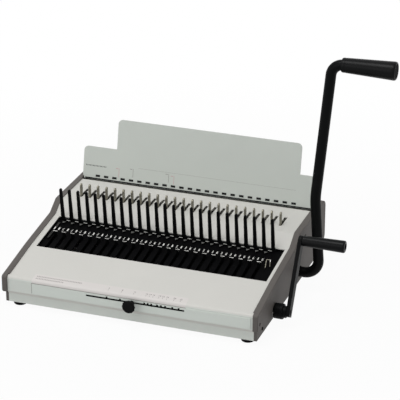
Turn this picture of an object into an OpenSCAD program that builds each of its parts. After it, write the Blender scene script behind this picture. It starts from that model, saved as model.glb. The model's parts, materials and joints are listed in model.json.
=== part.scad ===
// Hand-operated comb punching and binding machine.
// Frame while modelling: X to the right, Y to the rear, Z up, front face at Y = 0, desk at Z = 0.
// placed() moves everything so that the origin is the middle of the footprint on the desk.

/* [Comb pattern] */
// Distance from one comb ring to the next, nine sixteenths of an inch
comb_pitch = 14.2875; // [14:0.0125:14.5]
// Number of punch dies and of opener hooks
die_count = 24; // [18:2:24]
// Sideways place of the comb row from the middle of the deck
row_x = -4; // [-6:0.5:2]
// Margin of the deck beyond the comb row, on both sides
row_margin = 21.55; // [21:0.05:26]

/* [Body] */
// Depth from the front face to the rear face
body_d = 340; // [336:1:350]
// Height of the deck at its front edge
front_h = 49.5; // [48:0.5:52]
// Height of the top deck in front of the back panel
top_z = 90.5; // [90:0.5:94]
// Height of the lower edge of the outer covers
lip_z = 25; // [23:0.5:26]
// Depth of the sloping riser behind the comb row
riser_d = 24; // [20:1:28]
// Thickness of the sheet covers
sheet = 1.5; // [1.2:0.1:1.7]
// Setback of the base behind the front face
base_setback = 3.5; // [3:0.5:6]
// Thickness of the moulded side covers
side_t = 8; // [6:0.5:10]
// Thickness of the side covers below their outer lip
side_lip_t = 4.5; // [3:0.5:5]
// Round on the outer edge of the side covers
side_round = 1; // [0.5:0.5:2]
// Height of the side covers above the deck
lip_up = 1.5; // [1:0.25:2]
// How far the side covers lap over the deck
lip_over = 2; // [1:0.5:3]

/* [Feet] */
// Height of the rubber feet
foot_h = 7; // [6:0.5:8]
// Largest diameter of a foot
foot_d = 22; // [18:1:24]
// Distance of the feet from the ends of the deck
foot_inset = 13; // [12:1:20]

/* [Comb well] */
// Distance from the front face to the well
well_y = 84; // [82:1:86]
// Depth of the well along the deck
well_d = 91; // [90:1:93]
// Height of the deck at the front edge of the well
well_z = 64; // [63:0.5:65]
// Slope of the deck beside the well, in degrees
deck_tilt = 7; // [6.5:0.25:7.5]
// Margin between the well and the right end of the deck
well_right = 7.5; // [7.5:0.5:9]
// How far the tray lies below the deck
tray_sink = 4; // [3.5:0.25:4.5]
// Thickness of the tray
tray_t = 2; // [1.5:0.25:2.5]

/* [Fingers and hooks] */
// Height of the fixed fingers above the deck
finger_h = 51.5; // [45:0.5:55]
// Width of a finger at its foot
finger_foot_w = 6; // [5:0.25:6.5]
// Width of a finger at its tip
finger_tip_w = 4.6; // [4:0.2:5]
// Thickness of the finger plate
finger_t = 3; // [2:0.25:3]
// Distance from the front of the well to the hooks at rest
hook_u = 41.5; // [40:0.5:44]
// Width of a hook
hook_w = 9.5; // [8:0.5:10]
// Length of a hook from front to rear
hook_d = 13; // [12:0.5:16]
// Width of the strip that the hooks are cut to
hook_t = 1.4; // [1:0.2:1.8]
// Thickness of the hook sheet
hook_sheet = 1.6; // [1.2:0.2:2]
// Height of the hooks above the deck
hook_h = 4.5; // [4:0.5:6]

/* [Paper slot and dies] */
// Distance from the front face to the paper slot
slot_y = 294; // [292:1:296]
// Gap between the guide plate and the die plate
slot_gap = 2.8; // [2.4:0.2:3.2]
// Width of the mouth of the paper slot
slot_mouth = 4.4; // [4.2:0.1:5]
// Height of the middle of the punched holes
pin_z = 62; // [60:0.5:63]
// Width of a punched hole
pin_w = 8; // [7:0.5:9]
// Height of a punched hole
pin_h = 3; // [2.6:0.1:3.4]
// Distance from the edge of the paper to the middle of the holes
hole_margin = 5; // [4:0.5:6]
// Thickness of the guide plate and of the die plate
die_t = 12; // [10:0.5:13]
// Height of the tabs of the die sliders above the top deck
tab_h = 21; // [16:1:26]
// Width of the tabs of the die sliders
tab_w = 2.4; // [2:0.2:3]
// Sideways place of a tab beside its punch pin
tab_shift = 1.7; // [1:0.1:3]

/* [Back panel] */
// Lean of the back panel, in degrees
panel_lean = 11.5; // [9:0.5:14]
// Height of the low ends of the back panel
panel_low_z = 141; // [130:0.5:150]
// Height of the tall middle of the back panel
panel_top_z = 189; // [175:0.5:200]
// Width of the low left end of the back panel
panel_left_w = 56; // [45:1:65]
// Width of the low right end of the back panel
panel_right_w = 25; // [20:1:40]
// Round on the upper corners of the back panel
panel_round = 7.5; // [5:0.5:9]

/* [Punch lever] */
// Distance from the front face to the lever's axis
lever_y = 204; // [200:1:206]
// Height of the lever's axis
lever_z = 28; // [27.5:0.25:30]
// Lean of the lever to the rear at rest, in degrees
lever_lean = 5; // [0:1:8]
// Diameter of the lever tube
tube_d = 16; // [15:0.5:17]
// Length of the lower straight run of the lever
lever_run_low = 86; // [80:0.5:100]
// Length of the upper straight run of the lever
lever_run_high = 183.5; // [175:0.5:205]
// Radius of the lower bend
bend_low_r = 21; // [18:1:24]
// Radius of the upper bend
bend_high_r = 18; // [15:1:20]
// Length of the rubber grip
grip_l = 80; // [70:1:100]
// Diameter of the grip at its inner end
grip_d_in = 22; // [20:0.5:24]
// Diameter of the grip at its outer end
grip_d_out = 28; // [25:0.5:30]

/* [Opener crank] */
// Distance from the front face to the crank's axis
crank_y = 77; // [75:1:79]
// Height of the crank's axis
crank_z = 23; // [22:0.5:24]
// Length of the crank from axis to handle
crank_r = 107; // [95:1:115]
// Lean of the crank to the rear at rest, in degrees
crank_lean = 30; // [25:1:35]
// Diameter of the crank's hub
hub_d = 23.5; // [21:0.5:26]
// Length of the crank's hub
hub_l = 18.4; // [16:0.2:22]
// Width of the crank arm
arm_w = 15; // [12:0.5:16]
// Thickness of the crank arm
arm_t = 6; // [4:0.5:8]
// Length of the crank handle
handle_l = 65; // [55:1:75]
// Diameter of the crank handle at its outer end
handle_d = 18.5; // [17:0.5:22]

/* [Opening stop] */
// Middle of the notched slot from the middle of the deck
stop_mid_x = 11; // [8:1:14]
// Length of the notched slot
stop_slot_l = 154; // [154:1:160]
// Height of the stop's stud at rest
stop_z = 39.4; // [39:0.2:40]
// Place of the stop at rest
stop_x = 7; // [5:1:9]
// Diameter of the stop's knob
knob_d = 20.5; // [18:0.5:24]
// Length of the stop's knob with its neck
knob_l = 15.5; // [12:0.5:18]
// Thickness of the knob's disc
knob_disc_t = 4; // [3:0.5:6]
// Length of the straight neck behind the knob
knob_neck_l = 9; // [6:0.5:10]
// Diameter of the neck behind the knob
knob_neck_d = 8; // [6:0.5:12]

/* [Mechanism] */
// Diameter of the lever shaft and of the crank shaft
shaft_d = 12; // [10:0.5:13]
// Thickness of the frame plates
frame_t = 3; // [2.5:0.25:3.5]
// Running clearance of shafts and punch pins
run_gap = 0.06; // [0.03:0.01:0.1]
// Clearance between pieces that pass each other
pass_gap = 0.5; // [0.4:0.05:0.6]

/* [Hidden] */
$fn = 48;

// Width of the deck, its ends and those of the side covers
deck_w = die_count * comb_pitch + 2 * row_margin;
deck_l = -deck_w / 2;
deck_r = deck_w / 2;
side_r = deck_r + side_t;
// Rows of dies and fingers
function die_x(i) = row_x + (i - (die_count - 1) / 2) * comb_pitch;
function finger_x(i) = row_x + (i - die_count / 2) * comb_pitch;
function tab_x(i) = die_x(i) + tab_shift;
function slider_name(i) = str("die_slider_", i < 9 ? "0" : "", i + 1);
// Profile of the deck, as (Y, Z)
row_y = well_y + well_d;
riser_foot_y = row_y + 5;
riser_foot_z = well_z + (riser_foot_y - well_y) * tan(deck_tilt);
riser_top_y = riser_foot_y + riser_d;
deck_line = [[0, front_h], [well_y, well_z], [riser_foot_y, riser_foot_z], [riser_top_y, top_z]];
// The top deck ends in a flange that is the front wall of the paper slot
flange_h = 14;
fold_r = 5;
// Floor and inner widths
floor_z = foot_h + sheet;
base_front = base_setback + sheet;
frame_in = deck_r - 7;
frame_front = base_front + 15;
frame_rear = slot_y + slot_gap + 26;
frame_hole_d = 20;
frame_hole_z = lever_z + 10;
frame_holes = [crank_y + 43, crank_y + 73, lever_y + 41];
// Rows of feet
foot_front_y = base_front + foot_inset - 1.5;
foot_rear_y = body_d - foot_inset - 4;
// Side covers: front edge, lower edge of the lip, screws as (Y, Z)
side_front = -3;
side_low = lip_z - 1.3;
screw_d = 5;
screw_points = [[7, lip_z + 8.6], [body_d - 24, lip_z + 6], [riser_top_y + 26, top_z - 14]];
// Well and tray, in the tray's own frame: u along the slope, w square to it
rake_end = finger_foot_w / 2 + 2.5;
well_l_x = finger_x(0) - rake_end - 1;
well_r_x = deck_r - well_right;
well_u = well_d / cos(deck_tilt);
tray_top = -tray_sink;
tray_low = tray_top - tray_t;
rake_u = well_u - 0.3 - finger_t;
tray_end_u = well_u + 3.8;
// Guide for the left end of the comb
guide_w = 2.6;
guide_l = 46;
guide_t = 0.9;
// Hook carriage under the tray
carriage_top = tray_low - pass_gap;
rail_t = 3.5;
rail_d = 14;
stem_w = 4;
stem_slot_w = stem_w + 1;
stem_d = 3;
// Gears of both drives
pressure = 20;
backlash = 0.3;
gear_w = 10;
lever_module = 1.5;
lever_teeth = 18;
lever_pitch_r = lever_module * lever_teeth / 2;
crank_module = 2;
crank_teeth = 26;
crank_pitch_r = crank_module * crank_teeth / 2;
lever_gear_x = frame_in - 21;
// The sectors stand under two lands of the tray, between its slots
crank_gear_w = 8;
crank_gears = [finger_x(2), finger_x(die_count - 2)];
sector_first = -7;
sector_last = 1;
rack_last = 7;
// Travel of the joints
lever_travel = 33;
crank_travel = 80;
punch_stroke = lever_pitch_r * lever_travel * PI / 180;
hook_travel = crank_pitch_r * crank_travel * PI / 180;
slider_travel = 16;
stop_lift = 2;
// Axis of the crank in the tray's frame
crank_u = (crank_y - well_y) * cos(deck_tilt) + (crank_z - well_z) * sin(deck_tilt);
crank_w = (crank_z - well_z) * cos(deck_tilt) - (crank_y - well_y) * sin(deck_tilt);
rack_pitch_w = crank_w + crank_pitch_r;
// Paper slot, dies and punch bar
die_front = slot_y + slot_gap;
mouth_y = slot_y + slot_mouth;
guide_front = slot_y - die_t;
plate_low = pin_z - 16;
guide_top = pin_z + 7.5;
die_top = top_z - 2.5;
rear_top_y = die_front + die_t + 4.2;
pin_retract = 1.6;
bar_d = 12;
bar_y = guide_front - bar_d - punch_stroke - 6;
bar_low = pin_z - 8;
bar_top = pin_z + 12;
bar_l = 2 * (frame_in - 6);
pin_seat = 9;
groove_d = 4;
paper_w = 2 * (frame_in - 10);
// Die sliders
slider_foot_h = 9;
slider_front = riser_top_y + 20;
slider_end = bar_y + bar_d / 2;
tab_d = 6.5;
tab_slot_w = tab_w + 2.2;
tab_slot_front = slider_front - 1;
tab_slot_end = slider_front + tab_d + slider_travel + punch_stroke + 2;
// Chip drawer under the dies
drawer_w = 2 * (frame_in - 10);
drawer_front = bar_y + bar_d + punch_stroke + 6;
drawer_low = floor_z + 0.5;
drawer_top = plate_low - 12;
drawer_wall = 2;
// Opening stop
stop_slot_h = 3;
stud_d = 2.5;
notch_w = 3;
stop_notches = [for (x = [-44, -23, -4, 15, 20.5, 26, 35, 41, 47.5, 58.5, 68.5]) stop_mid_x + x];
front_plate_t = 0.8;
front_plate_low = lip_z + fold_r / 2;
front_plate_top = front_h - fold_r - 0.5;
front_plate_l = deck_l + 40;
front_plate_r = deck_r - 4;
slider_plate_t = base_setback - 0.4;
slider_plate_l = 50;
// Crank pieces along X
hub_in = side_r + 0.6;
hub_drum_l = hub_l - 4.8;
arm_in = hub_in + hub_l;
handle_in = arm_in + arm_t;
// Length of the arm below its axis
arm_foot = 7;
// Lever path, starting inside the right side cover
tube_start = deck_r + 6;
tube_run_in = 9.4;
bend_low_a = 95.8;
kink_a = 10;
kink_r = 130;
bend_high_a = bend_low_a - kink_a;
shaft_in_tube = 20;
// How far the grip reaches over the end of the upper bend
grip_lap = 1.9;
// Corners of that path, as (X, height over the axis)
lever_p0 = [tube_start + tube_run_in, 0];
lever_p1 = turn_point(lever_p0, bend_low_r, 0, bend_low_a);
lever_p2 = lever_p1 + lever_run_low * [cos(bend_low_a), sin(bend_low_a)];
lever_p3 = turn_point(lever_p2, kink_r, bend_low_a, bend_high_a);
lever_p4 = lever_p3 + lever_run_high * [cos(bend_high_a), sin(bend_high_a)];
lever_p5 = turn_point(lever_p4, bend_high_r, bend_high_a, 0);
lever_path = concat([[[tube_start, 0], 0]], turn(lever_p0, bend_low_r, 0, bend_low_a, 12),
    turn(lever_p2, kink_r, bend_low_a, bend_high_a, 4), turn(lever_p4, bend_high_r, bend_high_a, 0, 11),
    [[lever_p5 + [grip_l - grip_lap, 0], 0]]);
grip_x = lever_p5[0] - grip_lap;
grip_cap = 2;
grip_end = grip_x + grip_l + grip_cap;
// Back panel; its left end stands over the side cover
panel_y = mouth_y;
panel_l = deck_l - 1;
panel_r = deck_r - 1;
// Return spring round the lever shaft
spring_wire = 2;
spring_turns = 6;
spring_pitch = 2.6;
spring_r = shaft_d / 2 + 2.5;
spring_x = -frame_in + 46;
// Middle of the footprint
knob_front = -front_plate_t - 1.2 - knob_l;
mid_x = (grip_end - side_r) / 2;
mid_y = (body_d + knob_front) / 2;

// Colours, as the object shows them
c_light = [0.80, 0.80, 0.77];
c_front = [0.72, 0.75, 0.72];
c_side = [0.38, 0.37, 0.36];
c_panel = [0.70, 0.72, 0.69];
c_black = [0.10, 0.10, 0.11];
c_steel = [0.62, 0.62, 0.60];
c_brass = [0.72, 0.58, 0.32];

// Moves the machine so that its footprint is centred
module placed() translate([-mid_x, -mid_y, 0]) children();

// Extrudes a (Y, Z) outline along X
module along_x(from, to) translate([from, 0, 0]) rotate([90, 0, 90])
    linear_extrude(to - from) children();

// Frame of the tray: X as it is, u along the slope, w square to it
module on_tray() translate([0, well_y, well_z]) rotate([deck_tilt, 0, 0]) children();

// A box given by two corners
module box(low, high) translate(low) cube(high - low);

// A cylinder along X
module rod_x(from, to, d) translate([from, 0, 0]) rotate([0, 90, 0]) cylinder(h = to - from, d = d);

// Region behind the front face and under the deck, with its folds rounded
module deck_region() {
    offset(r = -fold_r) offset(delta = fold_r) offset(r = fold_r) offset(delta = -fold_r)
        polygon(concat([[base_setback, -foot_h], [base_setback, lip_z - base_setback], [0, lip_z]],
                       deck_line, [[slot_y, top_z], [slot_y, -foot_h]]));
}

// Radius angle of an involute
function involute(a) = tan(a) * 180 / PI - a;

// One involute tooth, pointing along +X of its outline
module gear_tooth(m, z) {
    pitch_r = m * z / 2;
    base_r = pitch_r * cos(pressure);
    root_r = pitch_r - 1.25 * m;
    half = 90 / z - backlash / pitch_r * 45 / PI + involute(pressure);
    steps = 4;
    radii = [for (k = [0 : steps]) base_r + (pitch_r + m - base_r) * k / steps];
    flank = [for (r = radii) let(a = half - involute(acos(base_r / r))) r * [cos(a), sin(a)]];
    root = (root_r - 0.3) * [cos(half), sin(half)];
    right = concat([root], flank);
    left = [for (k = [len(right) - 1 : -1 : 0]) [right[k][0], -right[k][1]]];
    polygon(concat(right, left));
}

// Gear outline with teeth from first to last, the tooth numbered 0 on +X
module gear_outline(m, z, first, last) {
    intersection() {
        circle(r = m * z / 2 - 1.25 * m);
        children();
    }
    for (k = [first : last]) rotate(k * 360 / z) gear_tooth(m, z);
}

// Rack outline: pitch line on Y = 0, teeth upward, a gap at X = 0, teeth from first to last
module rack_outline(m, first, last, back) {
    tooth = PI * m;
    half = tooth / 4 - backlash / 4;
    tip = half - m * tan(pressure);
    low = half + 1.25 * m * tan(pressure);
    for (k = [first : last]) translate([(k + 0.5) * tooth, 0])
        polygon([[-low, -1.25 * m], [-tip, m], [tip, m], [low, -1.25 * m]]);
    translate([first * tooth, -back]) square([(last - first + 1) * tooth, back - 1.25 * m + 0.01]);
}

// Closed skin over a list of rings of points
module tube_skin(rings) {
    n = len(rings);
    sides = len(rings[0]);
    skin = [for (r = [0 : n - 2]) for (j = [0 : sides - 1])
            let(k = (j + 1) % sides, low = r * sides, up = low + sides)
            each [[low + j, low + k, up + k], [low + j, up + k, up + j]]];
    caps = [[for (j = [sides - 1 : -1 : 0]) j], [for (j = [0 : sides - 1]) (n - 1) * sides + j]];
    polyhedron([for (r = rings) each r], concat(skin, caps));
}

// Point on a path in the (X, Z) plane that turns with radius r from heading h0 to heading h
function turn_point(p, r, h0, h) = p + sign(h - h0) * r * [sin(h) - sin(h0), cos(h0) - cos(h)];
// Places and headings along such a turn
function turn(p, r, h0, h1, steps) = [for (k = [0 : steps]) let(h = h0 + (h1 - h0) * k / steps)
    [turn_point(p, r, h0, h), h]];
// Ring of points across a round bar at a place with a heading
function bar_ring(place, d, sides) = [for (j = [0 : sides - 1]) let(b = j * 360 / sides, h = place[1])
    [place[0][0] - d / 2 * cos(b) * sin(h), d / 2 * sin(b), place[0][1] + d / 2 * cos(b) * cos(h)]];

// Base: floor, front wall with the ledge of the stop, rear corners beside the drawer
module base_pan() color(c_light) placed() {
    box([deck_l, base_front, foot_h], [deck_r, body_d - sheet, floor_z]);
    box([deck_l, base_front, foot_h], [deck_r, base_front + sheet, front_h - 2.5]);
    ledge_top = stop_z - 8.5;
    box([stop_mid_x - stop_slot_l / 2 - slider_plate_l / 2, sheet + 0.2, ledge_top - 1.5],
        [stop_mid_x + stop_slot_l / 2 + slider_plate_l / 2, base_front, ledge_top]);
    for (s = [-1, 1])
        box([s < 0 ? deck_l : drawer_w / 2 + 2, body_d - sheet, foot_h],
            [s < 0 ? -drawer_w / 2 - 2 : deck_r, body_d, drawer_top + 2]);
}

// Main cover: one folded sheet from the front face over the deck to the paper slot
module main_cover() color(c_light) placed() difference() {
    along_x(deck_l, deck_r) difference() {
        deck_region();
        offset(delta = -sheet) deck_region();
        translate([0, -2 * foot_h]) square([body_d, 3 * foot_h]);
        translate([slot_y - 2 * sheet, 0]) square([3 * sheet, top_z - flange_h]);
    }
    on_tray() box([well_l_x, 0, -20], [well_r_x, well_u, 20]);
    for (i = [0 : die_count - 1])
        box([tab_x(i) - tab_slot_w / 2, tab_slot_front, top_z - 5],
            [tab_x(i) + tab_slot_w / 2, tab_slot_end, top_z + 5]);
    box([stop_mid_x - stop_slot_l / 2 - 2, -1, stop_z - stop_slot_h / 2 - 1],
        [stop_mid_x + stop_slot_l / 2 + 2, sheet + 1, stop_z + stop_slot_h / 2 + stop_lift + 1]);
}

// Rear cover: top strip behind the panel and rear wall over the drawer
module rear_cover() color(c_light) placed() along_x(deck_l, deck_r) difference() {
    offset(r = 3) offset(delta = -3)
        polygon([[rear_top_y, 0], [rear_top_y, top_z], [body_d, top_z], [body_d, 0]]);
    polygon([[rear_top_y + sheet, -1], [rear_top_y + sheet, top_z - sheet], [body_d - sheet, top_z - sheet],
             [body_d - sheet, -1]]);
    translate([rear_top_y - 1, -1]) square([4, top_z - 9]);
    translate([rear_top_y - 1, -1]) square([body_d, drawer_top + 3]);
}

// Two convex outlines whose union is the side of the housing, seen from the right
module side_outline_front() {
    reach = riser_top_y + 20;
    reach_z = riser_foot_z + (reach - riser_foot_y) * tan(deck_tilt);
    offset(r = 4) offset(delta = -4)
        polygon([[side_front, side_low], [side_front, front_h + lip_up], [well_y, well_z + lip_up],
                 [reach, reach_z + lip_up], [reach, side_low]]);
}
module side_outline_rear() {
    riser_slope = riser_d / (top_z - riser_foot_z);
    low_y = riser_foot_y - (riser_foot_z - side_low) * riser_slope;
    offset(r = 10) offset(delta = -10)
        polygon([[low_y, side_low + lip_up], [riser_top_y, top_z + lip_up], [body_d, top_z + lip_up],
                 [body_d, side_low]]);
}
// Strip that lies on the ends of the deck
module side_lap() intersection() {
    difference() {
        offset(delta = lip_up) deck_region();
        offset(delta = 0.1) deck_region();
    }
    translate([fold_r + 1, front_h]) square([slot_y - 2 * fold_r, top_z]);
}

// Side cover drawn on the right: thick lip above that laps over the deck, thin skirt below
module side_shape() {
    for (part = [0, 1]) hull() {
        along_x(deck_r, side_r - side_round) if (part == 0) side_outline_front(); else side_outline_rear();
        along_x(side_r - 0.1, side_r) offset(delta = -side_round)
            if (part == 0) side_outline_front(); else side_outline_rear();
    }
    along_x(deck_r - lip_over, deck_r + 1) side_lap();
    along_x(deck_r, deck_r + side_lip_t) translate([base_setback, foot_h])
        square([body_d - 2 * base_setback, lip_z - foot_h + 5]);
}
module side_screw_holes() {
    for (p = screw_points) translate([0, p[0], p[1]])
        rod_x(deck_r + side_lip_t, side_r + 20, screw_d + 0.4);
}
module left_side_cover() color(c_side) placed() mirror([1, 0, 0]) difference() {
    side_shape();
    side_screw_holes();
}
module right_side_cover() color(c_side) placed() difference() {
    side_shape();
    side_screw_holes();
    translate([0, lever_y, lever_z]) rod_x(deck_r - 1, side_r + 1, tube_d + 2);
    translate([0, crank_y, crank_z]) rod_x(deck_r - 1, side_r + 1, shaft_d + 1);
}

// Screws that hold the side covers
module cover_screws() color(c_steel) placed() {
    head = side_r - 1.5;
    for (s = [0, 1]) mirror([s, 0, 0]) for (p = screw_points) translate([0, p[0], p[1]]) difference() {
        rod_x(deck_r + side_lip_t, head, screw_d);
        rod_x(head - 1.2, side_r, 2.5, $fn = 6);
    }
}

// Inner frame plate, drawn on the right
module frame_shape() {
    bores = [[lever_y, lever_z], [crank_y, crank_z]];
    difference() {
        along_x(frame_in, frame_in + frame_t) difference() {
            intersection() {
                union() {
                    offset(delta = -sheet) deck_region();
                    translate([slot_y - 10, 0]) square([frame_rear - slot_y + 10, top_z - flange_h]);
                }
                translate([frame_front, floor_z]) square([body_d, top_z]);
            }
            for (y = frame_holes) translate([y, frame_hole_z]) circle(d = frame_hole_d);
        }
        for (b = bores) translate([0, b[0], b[1]]) rod_x(frame_in - 1, frame_in + frame_t + 1, shaft_d + 6);
    }
}
module left_frame() color(c_steel) placed() mirror([1, 0, 0]) frame_shape();
module right_frame() color(c_steel) placed() frame_shape();

// Four equal flanged bushes, two for each shaft
module shaft_bushes() color(c_brass) placed() {
    for (b = [[lever_y, lever_z], [crank_y, crank_z]]) for (s = [0, 1])
        translate([0, b[0], b[1]]) mirror([s, 0, 0]) difference() {
            union() {
                rod_x(frame_in - 2, frame_in, shaft_d + 10);
                rod_x(frame_in, frame_in + frame_t + 2, shaft_d + 6);
            }
            rod_x(frame_in - 3, frame_in + frame_t + 3, shaft_d + 2 * run_gap);
        }
}

// Back panel: stepped sheet that leans back, on a flange over the die plate
module panel_outline() {
    low = (panel_low_z - die_top) / cos(panel_lean);
    tall = (panel_top_z - die_top) / cos(panel_lean);
    step_l = panel_l + panel_left_w;
    step_r = panel_r - panel_right_w;
    foot = sheet / 2;
    over_lip = (top_z + lip_up + 0.7 - die_top) / cos(panel_lean);
    difference() {
        offset(r = panel_round) offset(delta = -panel_round)
            polygon([[panel_l, -low], [panel_l, low], [step_l, low], [step_l, tall],
                     [step_r, tall], [step_r, low], [panel_r, low], [panel_r, -low]]);
        translate([-deck_w, foot - 2 * low]) square([2 * deck_w, 2 * low]);
        translate([-deck_w, 0]) square([deck_w / 2 + 0.8, over_lip]);
    }
}
module back_panel() color(c_panel) placed() {
    translate([0, panel_y, die_top]) rotate([-panel_lean, 0, 0])
        translate([0, sheet, 0]) rotate([90, 0, 0]) linear_extrude(sheet) panel_outline();
    flange_w = deck_w / 2 - 3;
    box([-flange_w, panel_y, die_top], [flange_w, rear_top_y - pass_gap, die_top + sheet]);
}

// Tray of the comb well: slots for the hooks, rims under the deck
module comb_tray() color(c_black) placed() on_tray() {
    difference() {
        box([-frame_in, -4, tray_low], [frame_in, tray_end_u, tray_top]);
        slot_front = hook_u - hook_travel - 1;
        slot_end = hook_u + stem_d + 1;
        for (i = [0 : die_count - 1])
            box([die_x(i) - stem_slot_w / 2, slot_front, tray_low - 1],
                [die_x(i) + stem_slot_w / 2, slot_end, tray_top + 1]);
    }
    box([-frame_in, 4, tray_top], [well_l_x - 0.5, tray_end_u, -sheet]);
    box([well_r_x + 0.2, 4, tray_top], [frame_in, tray_end_u, -sheet]);
    box([-frame_in, well_u + 0.5, tray_top], [frame_in, tray_end_u, -sheet]);
}

// Steel rests on the tray: two rows for the spine of the comb and a guide for its left end
module comb_rests() color(c_steel) placed() on_tray() {
    for (i = [0 : die_count - 1]) {
        translate([die_x(i) + 3.9, rake_u - 4.1, tray_top]) comb_bar(6.2, 2.2, tray_sink - 1.2);
        translate([die_x(i) - 1.2, rake_u - 7.6, tray_top]) comb_wedge(6, 5, tray_sink - 1.5);
    }
    guide_u = rake_u - 58;
    translate([finger_x(0) - guide_w + 1, guide_u, tray_top]) linear_extrude(tray_sink - 1.5) difference() {
        square([guide_w, guide_l]);
        translate([guide_t, guide_t]) square([guide_w - 2 * guide_t, guide_l]);
    }
}
// Small bar with a sloping front and small wedge that points to the front
module comb_bar(w, d, h) along_x(-w / 2, w / 2) polygon([[-d / 2, 0], [-d / 4, h], [d / 2, h], [d / 2, 0]]);
module comb_wedge(w, d, h) linear_extrude(h) polygon([[-w / 2, 0], [-w / 6, -d], [w / 2, 0]]);

// Fixed fingers, cut from one plate
module finger_rake() color(c_black) placed() on_tray() translate([0, rake_u + finger_t, 0])
    rotate([90, 0, 0]) linear_extrude(finger_t) {
        translate([finger_x(0) - rake_end, tray_top])
            square([finger_x(die_count) - finger_x(0) + 2 * rake_end, tray_sink - 1]);
        for (i = [0 : die_count]) translate([finger_x(i), -1]) finger_outline();
    }
module finger_outline() {
    tip_r = finger_tip_w / 2;
    h = finger_h + 1 - tip_r;
    polygon([[-finger_foot_w / 2, -0.1], [finger_foot_w / 2, -0.1], [tip_r, h], [-tip_r, h]]);
    translate([0, h]) circle(r = tip_r);
}

// Thin plate on the front face with the notched slot of the opening stop
module front_plate() color(c_front) placed() rotate([90, 0, 0]) linear_extrude(front_plate_t) difference() {
    translate([front_plate_l, front_plate_low])
        square([front_plate_r - front_plate_l, front_plate_top - front_plate_low]);
    translate([stop_mid_x - stop_slot_l / 2, stop_z - stop_slot_h / 2]) square([stop_slot_l, stop_slot_h]);
    for (x = stop_notches) translate([x - notch_w / 2, stop_z])
        square([notch_w, stop_slot_h / 2 + stop_lift]);
}

// Guide plate in front of the paper slot and die plate behind it
module pin_holes(from, to, w, h) for (i = [0 : die_count - 1])
    box([die_x(i) - w / 2, from, pin_z - h / 2], [die_x(i) + w / 2, to, pin_z + h / 2]);
module guide_plate() color(c_steel) placed() difference() {
    box([-frame_in, guide_front, plate_low], [frame_in, slot_y, guide_top]);
    pin_holes(guide_front - 1, slot_y + 1, pin_w + 2 * run_gap, pin_h + 2 * run_gap);
}
module die_plate() color(c_steel) placed() difference() {
    box([-frame_in, die_front, plate_low], [frame_in, die_front + die_t, die_top]);
    box([-frame_in - 1, die_front - 1, guide_top], [frame_in + 1, mouth_y, die_top + 1]);
    pin_holes(die_front - 1, die_front + die_t + 1, pin_w + 2 * run_gap, pin_h + 2 * run_gap);
    pin_holes(die_front + die_t / 2, die_front + die_t + 1, pin_w + 1, pin_h + 1.5);
}

// Shim between the two plates: its lower bar stops the paper, its ends set the slot
module slot_shim() color(c_steel) placed() difference() {
    box([-frame_in, slot_y, plate_low], [frame_in, die_front, guide_top]);
    box([-paper_w / 2, slot_y - 1, pin_z - hole_margin], [paper_w / 2, die_front + 1, guide_top + 1]);
}

// Rubber feet
module feet() color(c_black) placed() for (x = [deck_l + foot_inset, deck_r - foot_inset])
    for (y = [foot_front_y, foot_rear_y]) translate([x, y, 0]) rotate_extrude()
        polygon([[0, 0], [foot_d / 2 - 2.5, 0], [foot_d / 2 - 1, 1], [foot_d / 2, foot_h], [0, foot_h]]);

// Torsion spring that brings the lever back, wound round its shaft, one leg on the floor
module return_spring() color(c_steel) placed() translate([spring_x, lever_y, lever_z]) {
    sides = 6;
    turn_steps = 16;
    steps = spring_turns * turn_steps;
    leg = [0, 0, lever_z - floor_z];
    coil = [for (k = [0 : steps]) spring_ring(k / turn_steps, sides)];
    tube_skin(concat(coil, [[for (point = coil[steps]) point - leg]]));
}
// Ring of points across the wire after a number of turns
function spring_ring(turns, sides) = let(a = turns * 360 + 180) [for (j = [0 : sides - 1])
    let(b = -j * 360 / sides, r = spring_r + spring_wire / 2 * cos(b))
    [turns * spring_pitch + spring_wire / 2 * sin(b), r * cos(a), r * sin(a)]];

// Frame of the lever at rest: along X at its axis, leaning back
module on_lever() translate([0, lever_y, lever_z]) rotate([-lever_lean, 0, 0]) children();

// Lever: one bent tube from the side cover up to the grip
module lever_tube() color(c_black) placed() on_lever() difference() {
    tube_skin([for (place = lever_path) bar_ring(place, tube_d, 32)]);
    rod_x(tube_start - 1, tube_start + shaft_in_tube, shaft_d);
}
module lever_grip() color(c_black) placed() on_lever() translate([grip_x, 0, lever_p5[1]]) rotate([0, 90, 0])
    rotate_extrude() polygon([[tube_d / 2, grip_lap + 0.3], [tube_d / 2 + 0.2, 0], [grip_d_in / 2 - 1.5, 0],
        [grip_d_in / 2, 2], [grip_d_out / 2, grip_l - 1], [grip_d_out / 2 - 1.5, grip_l + grip_cap],
        [0, grip_l + grip_cap], [0, grip_l], [tube_d / 2, grip_l]]);
module lever_shaft() color(c_steel) placed() on_lever()
    rod_x(-frame_in - frame_t - 1, tube_start + shaft_in_tube, shaft_d);

// Pinions on the lever shaft, with a tooth straight down
module lever_pinions() color(c_steel) placed() for (s = [-1, 1])
    translate([s * lever_gear_x, lever_y, lever_z]) rotate([90, 0, 90]) translate([0, 0, -gear_w / 2])
        linear_extrude(gear_w) difference() {
            rotate(-90) gear_outline(lever_module, lever_teeth, 0, lever_teeth - 1)
                square(4 * lever_pitch_r, center = true);
            circle(d = shaft_d);
        }

// Punch bar with a groove for each slider and a seat for each pin
module punch_bar() color(c_steel) placed() difference() {
    box([-bar_l / 2, bar_y, bar_low], [bar_l / 2, bar_y + bar_d, bar_top]);
    for (i = [0 : die_count - 1])
        box([tab_x(i) - tab_w / 2 - 0.1, bar_y - 1, bar_top - groove_d],
            [tab_x(i) + tab_w / 2 + 0.1, bar_y + bar_d + 1, bar_top + 1]);
    pin_holes(bar_y + bar_d - pin_seat, bar_y + bar_d + 1, pin_w, pin_h);
}
module punch_pins() color(c_steel) placed()
    pin_holes(bar_y + bar_d - pin_seat, slot_y - pin_retract, pin_w, pin_h);

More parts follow.
